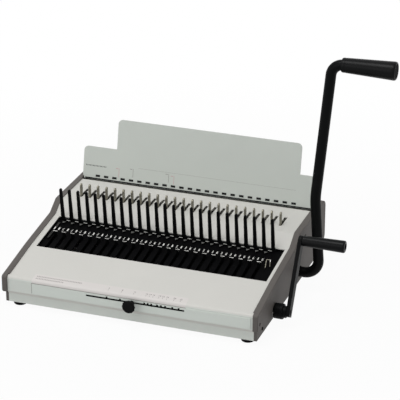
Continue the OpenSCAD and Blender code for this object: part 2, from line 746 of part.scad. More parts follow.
// Plates that carry the racks under the pinions and push the bar
module push_plates() color(c_steel) placed() for (s = [-1, 1])
    along_x(s * lever_gear_x - gear_w / 2, s * lever_gear_x + gear_w / 2) {
        back = lever_z - lever_pitch_r - floor_z - 0.6;
        rack_low = lever_z - lever_pitch_r - back;
        translate([lever_y, lever_z - lever_pitch_r]) rack_outline(lever_module, -5, 4, back);
        rack_end = lever_y + 5 * PI * lever_module - 0.01;
        translate([rack_end, rack_low]) square([bar_y - rack_end, 5]);
        polygon([[bar_y - 16, rack_low], [bar_y, rack_low], [bar_y, bar_top - 6], [bar_y - 7, bar_top - 6]]);
    }

// One die slider: a foot that rides in the punch bar and a tab that stands out of the deck
module die_slider(i) color(c_steel) placed() along_x(tab_x(i) - tab_w / 2, tab_x(i) + tab_w / 2) {
    foot_low = bar_top - groove_d + 0.1;
    translate([slider_front, foot_low]) square([slider_end - slider_front, slider_foot_h]);
    translate([slider_front, foot_low]) square([tab_d, top_z + tab_h - tab_d / 2 - foot_low]);
    translate([slider_front + tab_d / 2, top_z + tab_h - tab_d / 2]) circle(d = tab_d);
}

// Frame of the crank at rest, leaning back
module on_crank() translate([0, crank_y, crank_z]) rotate([-crank_lean, 0, 0]) children();
module crank_hub() color(c_black) placed() on_crank() difference() {
    union() {
        rod_x(hub_in, hub_in + hub_drum_l, hub_d);
        rod_x(hub_in + hub_drum_l, arm_in, hub_d - 5.5);
    }
    rod_x(hub_in - 1, arm_in + 1, shaft_d);
}
module crank_arm() color(c_black) placed() on_crank() along_x(arm_in, handle_in) {
    translate([-arm_w / 2, -arm_foot]) square([arm_w, crank_r + arm_foot]);
    translate([0, crank_r]) circle(d = arm_w);
}
module crank_handle() color(c_black) placed() on_crank() translate([handle_in, 0, crank_r]) rotate([0, 90, 0])
    rotate_extrude() polygon([[0, 0], [handle_d / 2 - 2, 0], [handle_d / 2 - 1.5, 1],
        [handle_d / 2, handle_l - 3], [handle_d / 2 - 1, handle_l - 0.8], [handle_d / 2 - 3, handle_l],
        [0, handle_l]]);
module crank_shaft() color(c_steel) placed() on_crank() rod_x(-frame_in - frame_t - 1, arm_in, shaft_d);

// Toothed sectors on the crank shaft; the tooth numbered 0 points at the rack
module crank_sectors() color(c_steel) placed() for (x = crank_gears)
    translate([x, crank_y, crank_z]) rotate([90, 0, 90]) translate([0, 0, -crank_gear_w / 2])
        linear_extrude(crank_gear_w) rotate(90 + deck_tilt) difference() {
            union() {
                gear_outline(crank_module, crank_teeth, sector_first, sector_last) sector_wedge();
                circle(d = shaft_d + 8);
            }
            circle(d = shaft_d);
        }
// Wedge that holds the toothed part of the sector
module sector_wedge() {
    reach = 2 * crank_pitch_r;
    step = 360 / crank_teeth;
    from = (sector_first - 0.5) * step;
    to = (sector_last + 0.5) * step;
    polygon(concat([[0, 0]], [for (a = [from : (to - from) / 6 : to + 0.01]) reach * [cos(a), sin(a)]]));
}

// Carriage under the tray: a rail across the machine, a stem through each slot of the tray
// and two racks that the sectors drive
module hook_carriage() color(c_black) placed() on_tray() {
    box([-frame_in + 4, hook_u, carriage_top - rail_t], [frame_in - 4, hook_u + rail_d, carriage_top]);
    for (i = [0 : die_count - 1])
        box([die_x(i) - stem_w / 2, hook_u, carriage_top - 0.1],
            [die_x(i) + stem_w / 2, hook_u + stem_d, hook_h - hook_sheet]);
    back = carriage_top - rack_pitch_w;
    reach = (rack_last + 1) * PI * crank_module - 0.01;
    for (x = crank_gears) along_x(x - crank_gear_w / 2, x + crank_gear_w / 2)
        translate([crank_u, rack_pitch_w]) mirror([0, 1]) {
            rack_outline(crank_module, -2, rack_last, back);
            translate([reach, -back]) square([hook_u + 1 - crank_u - reach, back - 1.25 * crank_module]);
        }
}

// Opener hooks: flat, open to the rear, each on its stem
module hooks() color(c_steel) placed() on_tray() for (i = [0 : die_count - 1])
    translate([die_x(i), hook_u, hook_h - hook_sheet]) linear_extrude(hook_sheet) difference() {
        hook_outline(hook_w);
        translate([0, hook_t]) hook_outline(hook_w - 2 * hook_t);
    }
module hook_outline(w) {
    r = 3;
    translate([-w / 2, r]) square([w, hook_d - r]);
    translate([-w / 2 + r, 0]) square([w - 2 * r, r + 1]);
    for (s = [-1, 1]) translate([s * (w / 2 - r), r]) circle(r = r);
}

// Opening stop: a plate that slides behind the front face and a knob that lifts into a notch
module stop_slider() color(c_steel) placed() difference() {
    front = sheet + 0.2;
    low = stop_z - 8.4;
    box([stop_x - slider_plate_l / 2, front, low],
        [stop_x + slider_plate_l / 2, front + slider_plate_t, low + 13.5]);
    box([stop_x - stud_d / 2 - 0.1, front - 1, stop_z - stud_d / 2 - 0.1],
        [stop_x + stud_d / 2 + 0.1, front + slider_plate_t + 1, stop_z + stud_d / 2 + stop_lift + 0.3]);
}
module stop_knob() color(c_black) placed() translate([stop_x, 0, stop_z]) rotate([90, 0, 0]) {
    stud_in = sheet + slider_plate_t;
    translate([0, 0, -stud_in]) cylinder(h = stud_in + front_plate_t + 2, d = stud_d);
    translate([0, 0, front_plate_t + 1.2]) rotate_extrude()
        polygon([[0, 0], [knob_neck_d / 2, 0], [knob_neck_d / 2, knob_neck_l],
                 [knob_d / 2 - 1, knob_l - knob_disc_t], [knob_d / 2, knob_l - knob_disc_t + 1],
                 [knob_d / 2, knob_l - 1], [knob_d / 2 - 1, knob_l], [0, knob_l]]);
}

// Chip drawer under the dies, pulled out to the rear
module chip_drawer() color(c_black) placed() difference() {
    w = drawer_w / 2;
    box([-w, drawer_front, drawer_low], [w, body_d, drawer_top]);
    box([-w + drawer_wall, drawer_front + drawer_wall, drawer_low + drawer_wall],
        [w - drawer_wall, body_d - drawer_wall, drawer_top + 1]);
    translate([0, body_d, drawer_top]) rotate([90, 0, 0]) translate([0, 0, -1])
        cylinder(h = drawer_wall + 2, d = 30);
}

base_pan();
main_cover();
rear_cover();
left_side_cover();
right_side_cover();
left_frame();
right_frame();
back_panel();
comb_tray();
comb_rests();
finger_rake();
front_plate();
guide_plate();
die_plate();
slot_shim();
shaft_bushes();
feet();
cover_screws();
return_spring();
lever_tube();
lever_grip();
lever_shaft();
lever_pinions();
punch_bar();
punch_pins();
push_plates();
crank_hub();
crank_arm();
crank_handle();
crank_shaft();
crank_sectors();
hook_carriage();
hooks();
stop_slider();
stop_knob();
chip_drawer();
for (i = [0 : die_count - 1]) die_slider(i);
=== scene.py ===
import json
import math

import bmesh
import bpy
from bpy.props import FloatProperty, FloatVectorProperty, IntProperty, PointerProperty
from mathutils import Matrix, Vector


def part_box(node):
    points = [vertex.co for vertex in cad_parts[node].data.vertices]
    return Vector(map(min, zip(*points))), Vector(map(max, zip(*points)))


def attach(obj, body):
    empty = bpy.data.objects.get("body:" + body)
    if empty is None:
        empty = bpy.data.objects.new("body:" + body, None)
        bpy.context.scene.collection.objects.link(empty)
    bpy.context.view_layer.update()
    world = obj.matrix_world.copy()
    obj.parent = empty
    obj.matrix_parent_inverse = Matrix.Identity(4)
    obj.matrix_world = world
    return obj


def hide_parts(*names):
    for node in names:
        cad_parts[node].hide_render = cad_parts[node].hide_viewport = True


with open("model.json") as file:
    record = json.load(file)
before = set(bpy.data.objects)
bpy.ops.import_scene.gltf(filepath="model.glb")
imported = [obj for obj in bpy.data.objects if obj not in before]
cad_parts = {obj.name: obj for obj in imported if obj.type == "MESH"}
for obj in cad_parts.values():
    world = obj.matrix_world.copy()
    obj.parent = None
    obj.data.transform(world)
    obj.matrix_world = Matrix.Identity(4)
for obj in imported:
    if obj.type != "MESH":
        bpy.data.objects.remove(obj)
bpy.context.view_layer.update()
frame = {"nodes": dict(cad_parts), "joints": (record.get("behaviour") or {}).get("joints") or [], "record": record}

bl_info = {
    "name": "Comb Binding Machine",
    "version": (1, 0, 0),
    "blender": (4, 5, 0),
    "location": "View3D > Sidebar > Binder",
    "description": "Finished pieces of a hand-operated comb punching and binding machine",
    "category": "Object",
}

# One millimetre
MM = 0.001

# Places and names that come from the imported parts
RECORD = frame["record"]
NODES = frame["nodes"]
COVER_LOW, COVER_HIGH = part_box("main_cover")
MID_X = (COVER_LOW.x + COVER_HIGH.x) / 2
FRONT_Y = COVER_LOW.y
DECK_HALF = (COVER_HIGH.x - COVER_LOW.x) / 2
JOINTS = {joint["name"]: joint for joint in frame["joints"]}
NODE_BODY = {node: body for body, nodes in RECORD["behaviour"]["bodies"].items() for node in nodes}
NODE_SLOT = {part["node"]: part["material_slot"] for part in RECORD["subparts"]}
SLIDERS = sorted(name for name in NODES if name.startswith("die_slider_"))
DIE_COUNT = len(SLIDERS)
FIRST_TAB = sum(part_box(SLIDERS[0]), Vector()).x / 2
LAST_TAB = sum(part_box(SLIDERS[-1]), Vector()).x / 2
COMB_PITCH = (LAST_TAB - FIRST_TAB) / (DIE_COUNT - 1)
PULL = JOINTS["hook_pull"]["axis"]
DECK_TILT = math.atan2(-PULL[2], -PULL[1])

# Depth of the comb well's floor below the deck, in millimetres
TRAY_SINK = 4.0

# Angle above which an edge is sharp, angle below which faces are one, distance at which points are one
SHARP = math.radians(35)
FLAT = math.radians(0.5)
WELD = 1e-6

# Shade of a finish as its colour is written, and plain white
PLAIN = 1.0
WHITE = (1.0, 1.0, 1.0, 1.0)


def at(x, y, z):
    """Place of millimetres from the middle of the deck, the front face and the desk."""
    return Vector((MID_X + x * MM, FRONT_Y + y * MM, z * MM))


def tone(*screen):
    """Linear colour of a screen colour, whose channels go to 255."""
    shares = [channel / 255 for channel in screen]
    return tuple(((s + 0.055) / 1.055) ** 2.4 if s > 0.04045 else s / 12.92 for s in shares)


def length(label, about, millimetres):
    """A length property."""
    return FloatProperty(name=label, description=about, default=millimetres * MM, min=0.0, unit="LENGTH")


def colour(label, about, *screen):
    """A colour property."""
    return FloatVectorProperty(
        name=label, description=about, subtype="COLOR", size=3, min=0.0, max=1.0, default=tone(*screen))


class BinderSizes(bpy.types.PropertyGroup):
    """Sizes of the finished pieces."""

    tab_shift: length("Tab shift", "Sideways place of a tab beside its die", 1.7)
    well_y: length("Well place", "Distance from the front face to the well", 84)
    well_z: length("Well height", "Height of the deck at the front of the well", 64)
    rake_u: length("Rake place", "Distance from the front of the well to the fingers", 88.383)
    finger_h: length("Finger height", "Height of a finger above the deck", 51.5)
    finger_foot: length("Finger foot", "Width of a finger at its foot", 6)
    finger_tip: length("Finger tip", "Width of a finger at its tip", 4.6)
    finger_t: length("Finger thickness", "Thickness of the finger plate", 3)
    rail_low: length("Rail depth", "Depth of the rake's rail below the deck", 4)
    hook_u: length("Hook place", "Distance from the front of the well to the hooks", 41.5)
    hook_w: length("Hook width", "Width of a hook", 9.5)
    hook_d: length("Hook length", "Length of a hook", 13)
    hook_t: length("Hook strip", "Width of the strip that the hooks are cut to", 1.4)
    hook_sheet: length("Hook sheet", "Thickness of the hook sheet", 1.6)
    hook_h: length("Hook height", "Height of the hooks above the deck", 4.5)
    tube_d: length("Lever tube", "Diameter of the lever tube", 16)
    lever_low: length("Lower run", "Length of the lever below its kink", 86)
    lever_high: length("Upper run", "Length of the lever above its kink", 183.5)
    grip_l: length("Grip length", "Length of the lever grip", 80)
    crank_r: length("Crank length", "Length of the crank", 107)
    handle_l: length("Handle length", "Length of the crank handle", 65)
    knob_d: length("Knob", "Diameter of the stop knob", 20.5)
    knob_flutes: IntProperty(
        name="Knob flutes", description="Number of flutes on the knob", default=12, min=6)
    mark_w: length("Mark width", "Width of a die mark on the back panel", 7.6)
    mark_h: length("Mark height", "Height of a die mark on the back panel", 3.6)
    print_t: length("Print thickness", "Thickness of the printed marks", 0.06)
    edge_sheet: length("Sheet edge", "Round on the edges of the sheet parts", 0.35)
    edge_mould: length("Moulded edge", "Round on the edges of the moulded parts", 0.6)
    edge_steel: length("Steel edge", "Round on the edges of the steel parts", 0.4)


class BinderColours(bpy.types.PropertyGroup):
    """Colours of the finishes."""

    deck: colour("Deck", "Light powder coat of the covers", 205, 204, 199)
    panel: colour("Back panel", "Powder coat of the back panel", 199, 204, 198)
    # Also painted light: the same colour goes on the front faces of the main cover
    foil: colour("Front plate", "Foil on the front plate", 211, 217, 211)
    scale: colour("Scale foil", "Foil under the scale on the front edge", 211, 207, 204)
    side: colour("Side covers", "Dark moulded side covers", 95, 91, 88)
    black: colour("Black moulding", "Satin black mouldings", 9, 10, 11)
    # Also the painted shade of the black sheet behind the stop slot and of the strip at the foot of the back panel
    well: colour("Comb well", "Matt black tray of the comb well", 6, 6, 7)
    # Also used as painted shade on the base pan and the hook carriage, and as painted dark reflection on the bends
    # of the hooks
    coat: colour("Black coat", "Black powder coat of lever, crank and fingers", 7, 8, 9)
    rubber: colour("Rubber", "Feet", 8, 8, 8)
    # Also the metal on the tops of the comb rests, partly wear and partly painted highlight
    zinc: colour("Zinc", "Zinc-plated inner parts", 178, 178, 174)
    # Also the painted highlight on the bow of the end wire
    bright: colour("Bright steel", "Nickel-plated hooks", 238, 237, 233)
    tab: colour("Tab steel", "Dull plated die tabs", 134, 130, 118)
    tool: colour("Tool steel", "Ground punch pins", 150, 150, 150)
    bronze: colour("Bronze", "Shaft bushes", 186, 150, 92)
    ink: colour("Ink", "Black print", 10, 10, 11)
    rose: colour("Rose ink", "Reddish print", 190, 136, 142)
    # Also the painted shadow along the edges of the front plate
    grey_ink: colour("Grey ink", "Pale grey print", 118, 112, 111)


# Shader trees

class Wire:
    """An output of a shader tree; arithmetic on it adds Math nodes."""

    def __init__(self, sheet, socket):
        self.sheet = sheet
        self.socket = socket

    def _math(self, operation, first, second):
        return self.sheet.node("ShaderNodeMath", {"operation": operation}, {0: first, 1: second})

    def __add__(self, other):
        return self._math("ADD", self, other)

    def __sub__(self, other):
        return self._math("SUBTRACT", self, other)

    def __rsub__(self, other):
        return self._math("SUBTRACT", other, self)

    def __mul__(self, other):
        return self._math("MULTIPLY", self, other)

    def clamped(self):
        return self.sheet.node("ShaderNodeClamp", {}, {"Value": self})

    __radd__ = __add__
    __rmul__ = __mul__


class Sheet:
    """The node tree of a material or of the world."""

    def __init__(self, owner):
        owner.use_nodes = True
        self.tree = owner.node_tree
        self.tree.nodes.clear()

    def node(self, kind, settings=None, sockets=None, out=0):
        made = self.tree.nodes.new(kind)
        for key, value in (settings or {}).items():
            setattr(made, key, value)
        for key, value in (sockets or {}).items():
            if isinstance(value, Wire):
                self.tree.links.new(value.socket, made.inputs[key])
            else:
                made.inputs[key].default_value = value
        return Wire(self, made.outputs[out]) if made.outputs else None

    def place(self, stretch=None):
        where = self.node("ShaderNodeTexCoord", out="Object")
        if stretch is None:
            return where
        return self.node("ShaderNodeMapping", {}, {"Vector": where, "Scale": stretch})

    def noise(self, where, scale, detail=2.0, roughness=0.5):
        sockets = {"Vector": where, "Scale": scale, "Detail": detail, "Roughness": roughness}
        return self.node("ShaderNodeTexNoise", {}, sockets, out="Fac")

    def blend(self, factor, low, high):
        return self.node("ShaderNodeMix", {"data_type": "RGBA"}, {0: factor, 6: low, 7: high}, out=2)

    def bump(self, height, strength, distance):
        sockets = {"Strength": strength, "Distance": distance, "Height": height}
        return self.node("ShaderNodeBump", {}, sockets)

    def attribute(self, name):
        return self.node("ShaderNodeAttribute", {"attribute_name": name}, out="Fac")

    def surface(self, sockets):
        shader = self.node("ShaderNodeBsdfPrincipled", {}, sockets)
        self.node("ShaderNodeOutputMaterial", {}, {"Surface": shader})


def shade(base, factor):
    """A colour made lighter or darker, with its alpha."""
    return tuple(min(1.0, c * factor) for c in base[:3]) + (1.0,)


def new_finish(name):
    """A new material with an empty tree."""
    material = bpy.data.materials.new(name)
    return material, Sheet(material)


def edge_wear(sheet, where, amount):
    """Worn spots along the rounded edges."""
    chips = ((sheet.noise(where, 260.0, 4.0, 0.6) - 0.5) * 7.0).clamped()
    return sheet.attribute("edge") * chips * amount


def powder_coat(name, base, roughness, peel, wear, specular, front=None):
    """Powder coat: orange-peel surface, faint clouding and chipped edges; faces marked front may take another
    colour as painted light.
    """
    material, sheet = new_finish(name)
    where = sheet.place()
    fine = sheet.noise(where, 950.0, 3.0, 0.55)
    cloud = sheet.noise(where, 16.0, 3.0)
    speck = sheet.noise(where, 2600.0, 1.0)
    body = sheet.blend(cloud, shade(base, 0.955), shade(base, 1.04))
    # Painted light: faces marked front show the same paint lighter and greener, for how the light falls on them
    if front:
        body = sheet.blend(sheet.attribute("front"), body, shade(front, PLAIN))
    grain = sheet.blend(((speck - 0.5) * 1.6 + 0.5).clamped() * 0.5, body, shade(base, 0.93))
    wear_and_glint = edge_wear(sheet, where, wear)
    sheet.surface({
        "Base Color": sheet.blend(wear_and_glint, grain, shade(base, 0.72)),
        "Roughness": (cloud - 0.5) * 0.14 + (fine - 0.5) * 0.1 + roughness,
        "Specular IOR Level": specular,
        "Normal": sheet.bump(fine, peel, 0.09 * MM),
    })
    return material


def black_coat(name, base, roughness, specular):
    """Black powder coat whose edges are rubbed to bare metal."""
    material, sheet = new_finish(name)
    where = sheet.place()
    fine = sheet.noise(where, 1100.0, 3.0, 0.55)
    cloud = sheet.noise(where, 34.0, 4.0)
    rub = ((cloud - 0.52) * 4.0).clamped()
    wear_and_glint = edge_wear(sheet, where, 0.35)
    body = sheet.blend(rub, shade(base, 0.85), shade(base, 1.5))
    bare_metal = (0.05, 0.05, 0.052, 1.0)
    sheet.surface({
        "Base Color": sheet.blend(wear_and_glint, body, bare_metal),
        "Metallic": wear_and_glint * 0.8,
        "Roughness": (fine - 0.5) * 0.16 + rub * -0.07 + roughness,
        "Specular IOR Level": specular,
        "Normal": sheet.bump(fine, 0.25, 0.08 * MM),
    })
    return material


def moulded(name, base, roughness, grain, specular):
    """Moulded plastic with a fine eroded grain, smoother where it is handled."""
    material, sheet = new_finish(name)
    where = sheet.place()
    eroded = {"Vector": where, "Scale": 900.0}
    cells = sheet.node("ShaderNodeTexVoronoi", {"feature": "F1"}, eroded, out="Distance")
    fine = sheet.noise(where, 1700.0, 2.0)
    cloud = sheet.noise(where, 22.0, 3.0)
    relief = cells * 0.6 + fine * 0.5
    wear_and_glint = edge_wear(sheet, where, 0.5)
    body = sheet.blend(cloud, shade(base, 0.92), shade(base, 1.08))
    grained = sheet.blend((relief * 0.55).clamped(), body, shade(base, 0.86))
    sheet.surface({
        "Base Color": sheet.blend(wear_and_glint, grained, shade(base, 1.35)),
        "Roughness": (cloud - 0.5) * 0.16 + wear_and_glint * -0.12 + roughness,
        "Specular IOR Level": specular,
        "Normal": sheet.bump(relief, grain, 0.1 * MM),
    })
    return material


def rubber(name, base):
    """Matt rubber with pale dust in its pores."""
    material, sheet = new_finish(name)
    where = sheet.place()
    pores = sheet.noise(where, 1300.0, 4.0, 0.65)
    dust = ((sheet.noise(where, 60.0, 4.0) - 0.55) * 3.0).clamped()
    dusty = (0.03, 0.029, 0.028, 1.0)
    sheet.surface({
        "Base Color": sheet.blend(dust * 0.2, shade(base, PLAIN), dusty),
        "Roughness": dust * 0.08 + (pores - 0.5) * 0.1 + 0.78,
        "Specular IOR Level": 0.06,
        "Normal": sheet.bump(pores, 0.35, 0.12 * MM),
    })
    return material


def plated(name, base, tint, roughness, stretch, haze):
    """Plated or ground steel: drawn streaks, clouded plating and duller patches."""
    material, sheet = new_finish(name)
    where = sheet.place()
    drawn = sheet.noise(sheet.place(stretch), 1.0, 3.0, 0.6)
    cloud = sheet.noise(where, 70.0, 4.0, 0.6)
    stain = ((sheet.noise(where, 240.0, 3.0) - 0.45) * 3.0).clamped()
    body = sheet.blend(cloud, shade(base, 0.9), shade(tint, PLAIN))
    sheet.surface({
        "Base Color": sheet.blend(stain * haze, body, shade(base, 0.62)),
        "Metallic": 1.0 - stain * haze * 0.5,
        "Roughness": (drawn - 0.5) * 0.3 + stain * haze * 0.2 + roughness,
        "Normal": sheet.bump(drawn, 0.12, 0.06 * MM),
    })
    return material


def rubbed(name, coat, metal):
    """Black coat that is rubbed down to the metal where the mesh says so; on the comb rests this is partly wear
    and partly painted highlight.
    """
    material, sheet = new_finish(name)
    where = sheet.place()
    fine = sheet.noise(where, 800.0, 3.0, 0.6)
    # The mask stands partly for wear and partly for painted highlight
    bare = sheet.attribute("bare")
    patchy = bare * (fine * 0.5 + 0.75)
    sheet.surface({
        "Base Color": sheet.blend(patchy, shade(coat, PLAIN), shade(metal, PLAIN)),
        "Metallic": bare * 0.9,
        "Roughness": (fine - 0.5) * 0.2 + 0.42,
        "Specular IOR Level": 0.04,
        "Normal": sheet.bump(fine, 0.15, 0.05 * MM),
    })
    return material


def printed(name, base):
    """Screen print with a slightly broken film."""
    material, sheet = new_finish(name)
    where = sheet.place()
    film = sheet.noise(where, 1500.0, 3.0, 0.6)
    sheet.surface({
        "Base Color": sheet.blend(film, shade(base, 0.8), shade(base, 1.3)),
        "Roughness": film * 0.2 + 0.45,
        "Specular IOR Level": 0.25,
        "Normal": sheet.bump(film, 0.1, 0.03 * MM),
    })
    return material


FINISH = {}


def make_finishes(colours):
    """Makes one material for each slot of the record, and those that the pieces add."""
    FINISH.update({
        # Painted light: the light powder coat gives its front faces the front plate's lighter, greener colour
        "light_paint": powder_coat(
            "light powder coat", colours.deck, roughness=0.5, peel=0.3, wear=0.25, specular=0.3,
            front=colours.foil),
        "grey_paint": powder_coat(
            "panel powder coat", colours.panel, roughness=0.55, peel=0.25, wear=0.2, specular=0.25),
        "front_foil": powder_coat(
            "front foil", colours.foil, roughness=0.42, peel=0.08, wear=0.1, specular=0.3),
        "scale_foil": powder_coat(
            "scale foil", colours.scale, roughness=0.42, peel=0.08, wear=0.1, specular=0.3),
        "dark_plastic": moulded(
            "side cover moulding", colours.side, roughness=0.58, grain=0.3, specular=0.2),
        "black_plastic": moulded(
            "black moulding", colours.black, roughness=0.46, grain=0.22, specular=0.06),
        "well_plastic": moulded(
            "well moulding", colours.well, roughness=0.6, grain=0.22, specular=0.02),
        "grip": moulded(
            "grip moulding", colours.black, roughness=0.34, grain=0.1, specular=0.09),
        "black_metal": black_coat("black powder coat", colours.coat, roughness=0.4, specular=0.06),
        "black_rubber": rubber("foot rubber", colours.rubber),
        "zinc_steel": plated(
            "zinc plating", colours.zinc, tint=(0.72, 0.71, 0.66), roughness=0.34,
            stretch=(60.0, 900.0, 900.0), haze=0.5),
        "bright_steel": plated(
            "nickel plating", colours.bright, tint=(0.86, 0.85, 0.82), roughness=0.2,
            stretch=(900.0, 120.0, 900.0), haze=0.1),
        "tab_steel": plated(
            "dull tab plating", colours.tab, tint=(0.28, 0.27, 0.22), roughness=0.42,
            stretch=(900.0, 900.0, 110.0), haze=0.55),
        "tool_steel": plated(
            "ground tool steel", colours.tool, tint=(0.4, 0.4, 0.41), roughness=0.26,
            stretch=(900.0, 90.0, 900.0), haze=0.25),
        "bronze": plated(
            "sintered bronze", colours.bronze, tint=(0.5, 0.36, 0.16), roughness=0.45,
            stretch=(400.0, 400.0, 400.0), haze=0.45),
        # Partly wear, partly painted highlight: the metal on the tops of the comb rests
        "rubbed_steel": rubbed("rubbed coat", colours.well, colours.zinc),
        "ink": printed("black print", colours.ink),
        "rose": printed("rose print", colours.rose),
        "grey_ink": printed("grey print", colours.grey_ink),
    })


# Geometry trees

ROW_TREE = "Row of like pieces"
POINTS_TREE = "Pieces on points"
TUBE_TREE = "Tube along a path"


class Graph:
    """A geometry tree with named inputs that ends in Realize Instances and Set Material."""

    def __init__(self, name, inputs):
        self.tree = bpy.data.node_groups.new(name, "GeometryNodeTree")
        face = self.tree.interface
        face.new_socket("Geometry", in_out="OUTPUT", socket_type="NodeSocketGeometry")
        for label, kind in [("Geometry", "Geometry"), *inputs, ("Finish", "Material")]:
            face.new_socket(label, in_out="INPUT", socket_type="NodeSocket" + kind)
        self.given = self.tree.nodes.new("NodeGroupInput").outputs

    def node(self, kind, settings, sockets, out="Geometry"):
        made = self.tree.nodes.new(kind)
        for key, value in settings.items():
            setattr(made, key, value)
        for key, value in sockets.items():
            if isinstance(value, bpy.types.NodeSocket):
                self.tree.links.new(value, made.inputs[key])
            else:
                made.inputs[key].default_value = value
        return made.outputs[out]

    def close(self, geometry):
        real = self.node("GeometryNodeRealizeInstances", {}, {"Geometry": geometry})
        done = self.node("GeometryNodeSetMaterial", {}, {
            "Geometry": real, "Material": self.given["Finish"]})
        self.tree.links.new(done, self.tree.nodes.new("NodeGroupOutput").inputs["Geometry"])


def row_graph():
    """A row of copies of one piece at equal steps."""
    graph = Graph(ROW_TREE, [
        ("Piece", "Object"), ("Count", "Int"), ("Start", "Vector"), ("Step", "Vector")])
    given = graph.given
    line = graph.node("GeometryNodeMeshLine", {"mode": "OFFSET"}, {
        "Count": given["Count"], "Start Location": given["Start"], "Offset": given["Step"]}, "Mesh")
    part = graph.node("GeometryNodeObjectInfo", {}, {"Object": given["Piece"]})
    graph.close(graph.node("GeometryNodeInstanceOnPoints", {}, {
        "Points": line, "Instance": part}, "Instances"))


def points_graph():
    """A copy of one piece on each point, all turned the same way."""
    graph = Graph(POINTS_TREE, [("Piece", "Object"), ("Turn", "Rotation")])
    given = graph.given
    part = graph.node("GeometryNodeObjectInfo", {}, {"Object": given["Piece"]})
    graph.close(graph.node("GeometryNodeInstanceOnPoints", {}, {
        "Points": given["Geometry"], "Instance": part, "Rotation": given["Turn"]}, "Instances"))


def tube_graph():
    """A round tube along a path."""
    graph = Graph(TUBE_TREE, [("Diameter", "Float"), ("Sides", "Int")])
    given = graph.given
    half = graph.node("ShaderNodeMath", {"operation": "MULTIPLY"}, {
        0: given["Diameter"], 1: 0.5}, "Value")
    ring = graph.node("GeometryNodeCurvePrimitiveCircle", {"mode": "RADIUS"}, {
        "Resolution": given["Sides"], "Radius": half}, "Curve")
    graph.close(graph.node("GeometryNodeCurveToMesh", {}, {
        "Curve": given["Geometry"], "Profile Curve": ring, "Fill Caps": True}, "Mesh"))


def show(data):
    """A new object in the scene."""
    made = bpy.data.objects.new(data.name, data)
    bpy.context.scene.collection.objects.link(made)
    return made


def grown(tree_name, data, values):
    """The plain mesh that a geometry tree makes of an object."""
    tree = bpy.data.node_groups[tree_name]
    host = show(data)
    modifier = host.modifiers.new("grow", "NODES")
    modifier.node_group = tree
    for item in tree.interface.items_tree:
        if item.in_out == "INPUT" and item.name in values:
            modifier[item.identifier] = values[item.name]
    seen = host.evaluated_get(bpy.context.evaluated_depsgraph_get())
    mesh = bpy.data.meshes.new_from_object(seen)
    host.modifiers.remove(modifier)
    bpy.data.objects.remove(host)
    return mesh


def repeated(name, source, finish, tree_name, data, values):
    """Repeats a small mesh with a geometry tree."""
    mesh = bpy.data.meshes.new(name + "_one")
    bmesh.ops.recalc_face_normals(source, faces=source.faces)
    source.to_mesh(mesh)
    source.free()
    mesh.shade_smooth()
    mesh.set_sharp_from_angle(angle=SHARP)
    one = show(mesh)
    made = grown(tree_name, data, {**values, "Piece": one, "Finish": FINISH[finish]})
    bpy.data.objects.remove(one)
    return made


def row(name, source, finish, count, start, step):
    """A row of copies of a small mesh."""
    blank = bpy.data.meshes.new(name)
    values = {"Count": count, "Start": tuple(start), "Step": tuple(step)}
    return repeated(name, source, finish, ROW_TREE, blank, values)


def on_points(name, source, finish, places, turn=(0.0, 0.0, 0.0)):
    """A copy of a small mesh at each place."""
    dots = bpy.data.meshes.new(name)
    dots.from_pydata([tuple(place) for place in places], [], [])
    return repeated(name, source, finish, POINTS_TREE, dots, {"Turn": turn})


def piped(name, places, diameter, sides, finish):
    """A round tube through places."""
    curve = bpy.data.curves.new(name, "CURVE")
    curve.dimensions = "3D"
    line = curve.splines.new("POLY")
    line.points.add(len(places) - 1)
    for point, place in zip(line.points, places):
        point.co = (*place, 1.0)
    values = {"Diameter": diameter, "Sides": sides, "Finish": FINISH[finish]}
    return grown(TUBE_TREE, curve, values)


# Mesh tools

def extruded(points, height):
    """A closed slab over an outline, in millimetres."""
    mesh = bmesh.new()
    face = mesh.faces.new([mesh.verts.new((x * MM, y * MM, 0.0)) for x, y in points])
    lifted = bmesh.ops.extrude_face_region(mesh, geom=[face])["geom"]
    top = [part for part in lifted if isinstance(part, bmesh.types.BMVert)]
    bmesh.ops.translate(mesh, vec=Vector((0.0, 0.0, height * MM)), verts=top)
    return mesh


def rectangle(left, low, right, high):
    """Corners of a rectangle."""
    return [(left, low), (right, low), (right, high), (left, high)]


def round_edges(mesh, width):
    """Rounds the sharp edges and marks the new faces for wear."""
    sharp = [edge for edge in mesh.edges if len(edge.link_faces) == 2 and edge.calc_face_angle() > SHARP]
    mark = mesh.faces.layers.float.new("edge")
    rounded = bmesh.ops.bevel(
        mesh, geom=sharp, offset=width, offset_type="OFFSET", segments=2, profile=0.5,
        affect="EDGES", clamp_overlap=True)
    for face in rounded["faces"]:
        face[mark] = 1.0
    return mesh


def lathe(profile, sides=64, flutes=0):
    """A solid turned round the X axis from rings (place, radius), in millimetres.

    A third value of a ring makes it other than round: flute, with the depth after it, or hex.
    """
    mesh = bmesh.new()
    rings = []
    for place, radius, *form in profile:
        if radius == 0:
            rings.append([mesh.verts.new((place * MM, 0.0, 0.0))])
            continue
        ring = []
        for k in range(sides):
            angle = math.tau * k / sides
            reach = radius
            if form and form[0] == "flute":
                reach -= form[1] * (0.5 - 0.5 * math.cos(flutes * angle))
            if form and form[0] == "hex":
                reach /= math.cos((angle + math.pi / 6) % (math.pi / 3) - math.pi / 6)
            across = reach * math.cos(angle)
            up = reach * math.sin(angle)
            ring.append(mesh.verts.new((place * MM, across * MM, up * MM)))
        rings.append(ring)
    for first, second in zip(rings, rings[1:]):
        for k in range(sides):
            corners = [first[k % len(first)], first[(k + 1) % len(first)],
                       second[(k + 1) % len(second)], second[k % len(second)]]
            mesh.faces.new(list(dict.fromkeys(corners)))
    if len(rings[0]) > 1 and len(rings[-1]) > 1:
        for k in range(sides):
            after = (k + 1) % sides
            mesh.faces.new([rings[-1][k], rings[-1][after], rings[0][after], rings[0][k]])
    return mesh


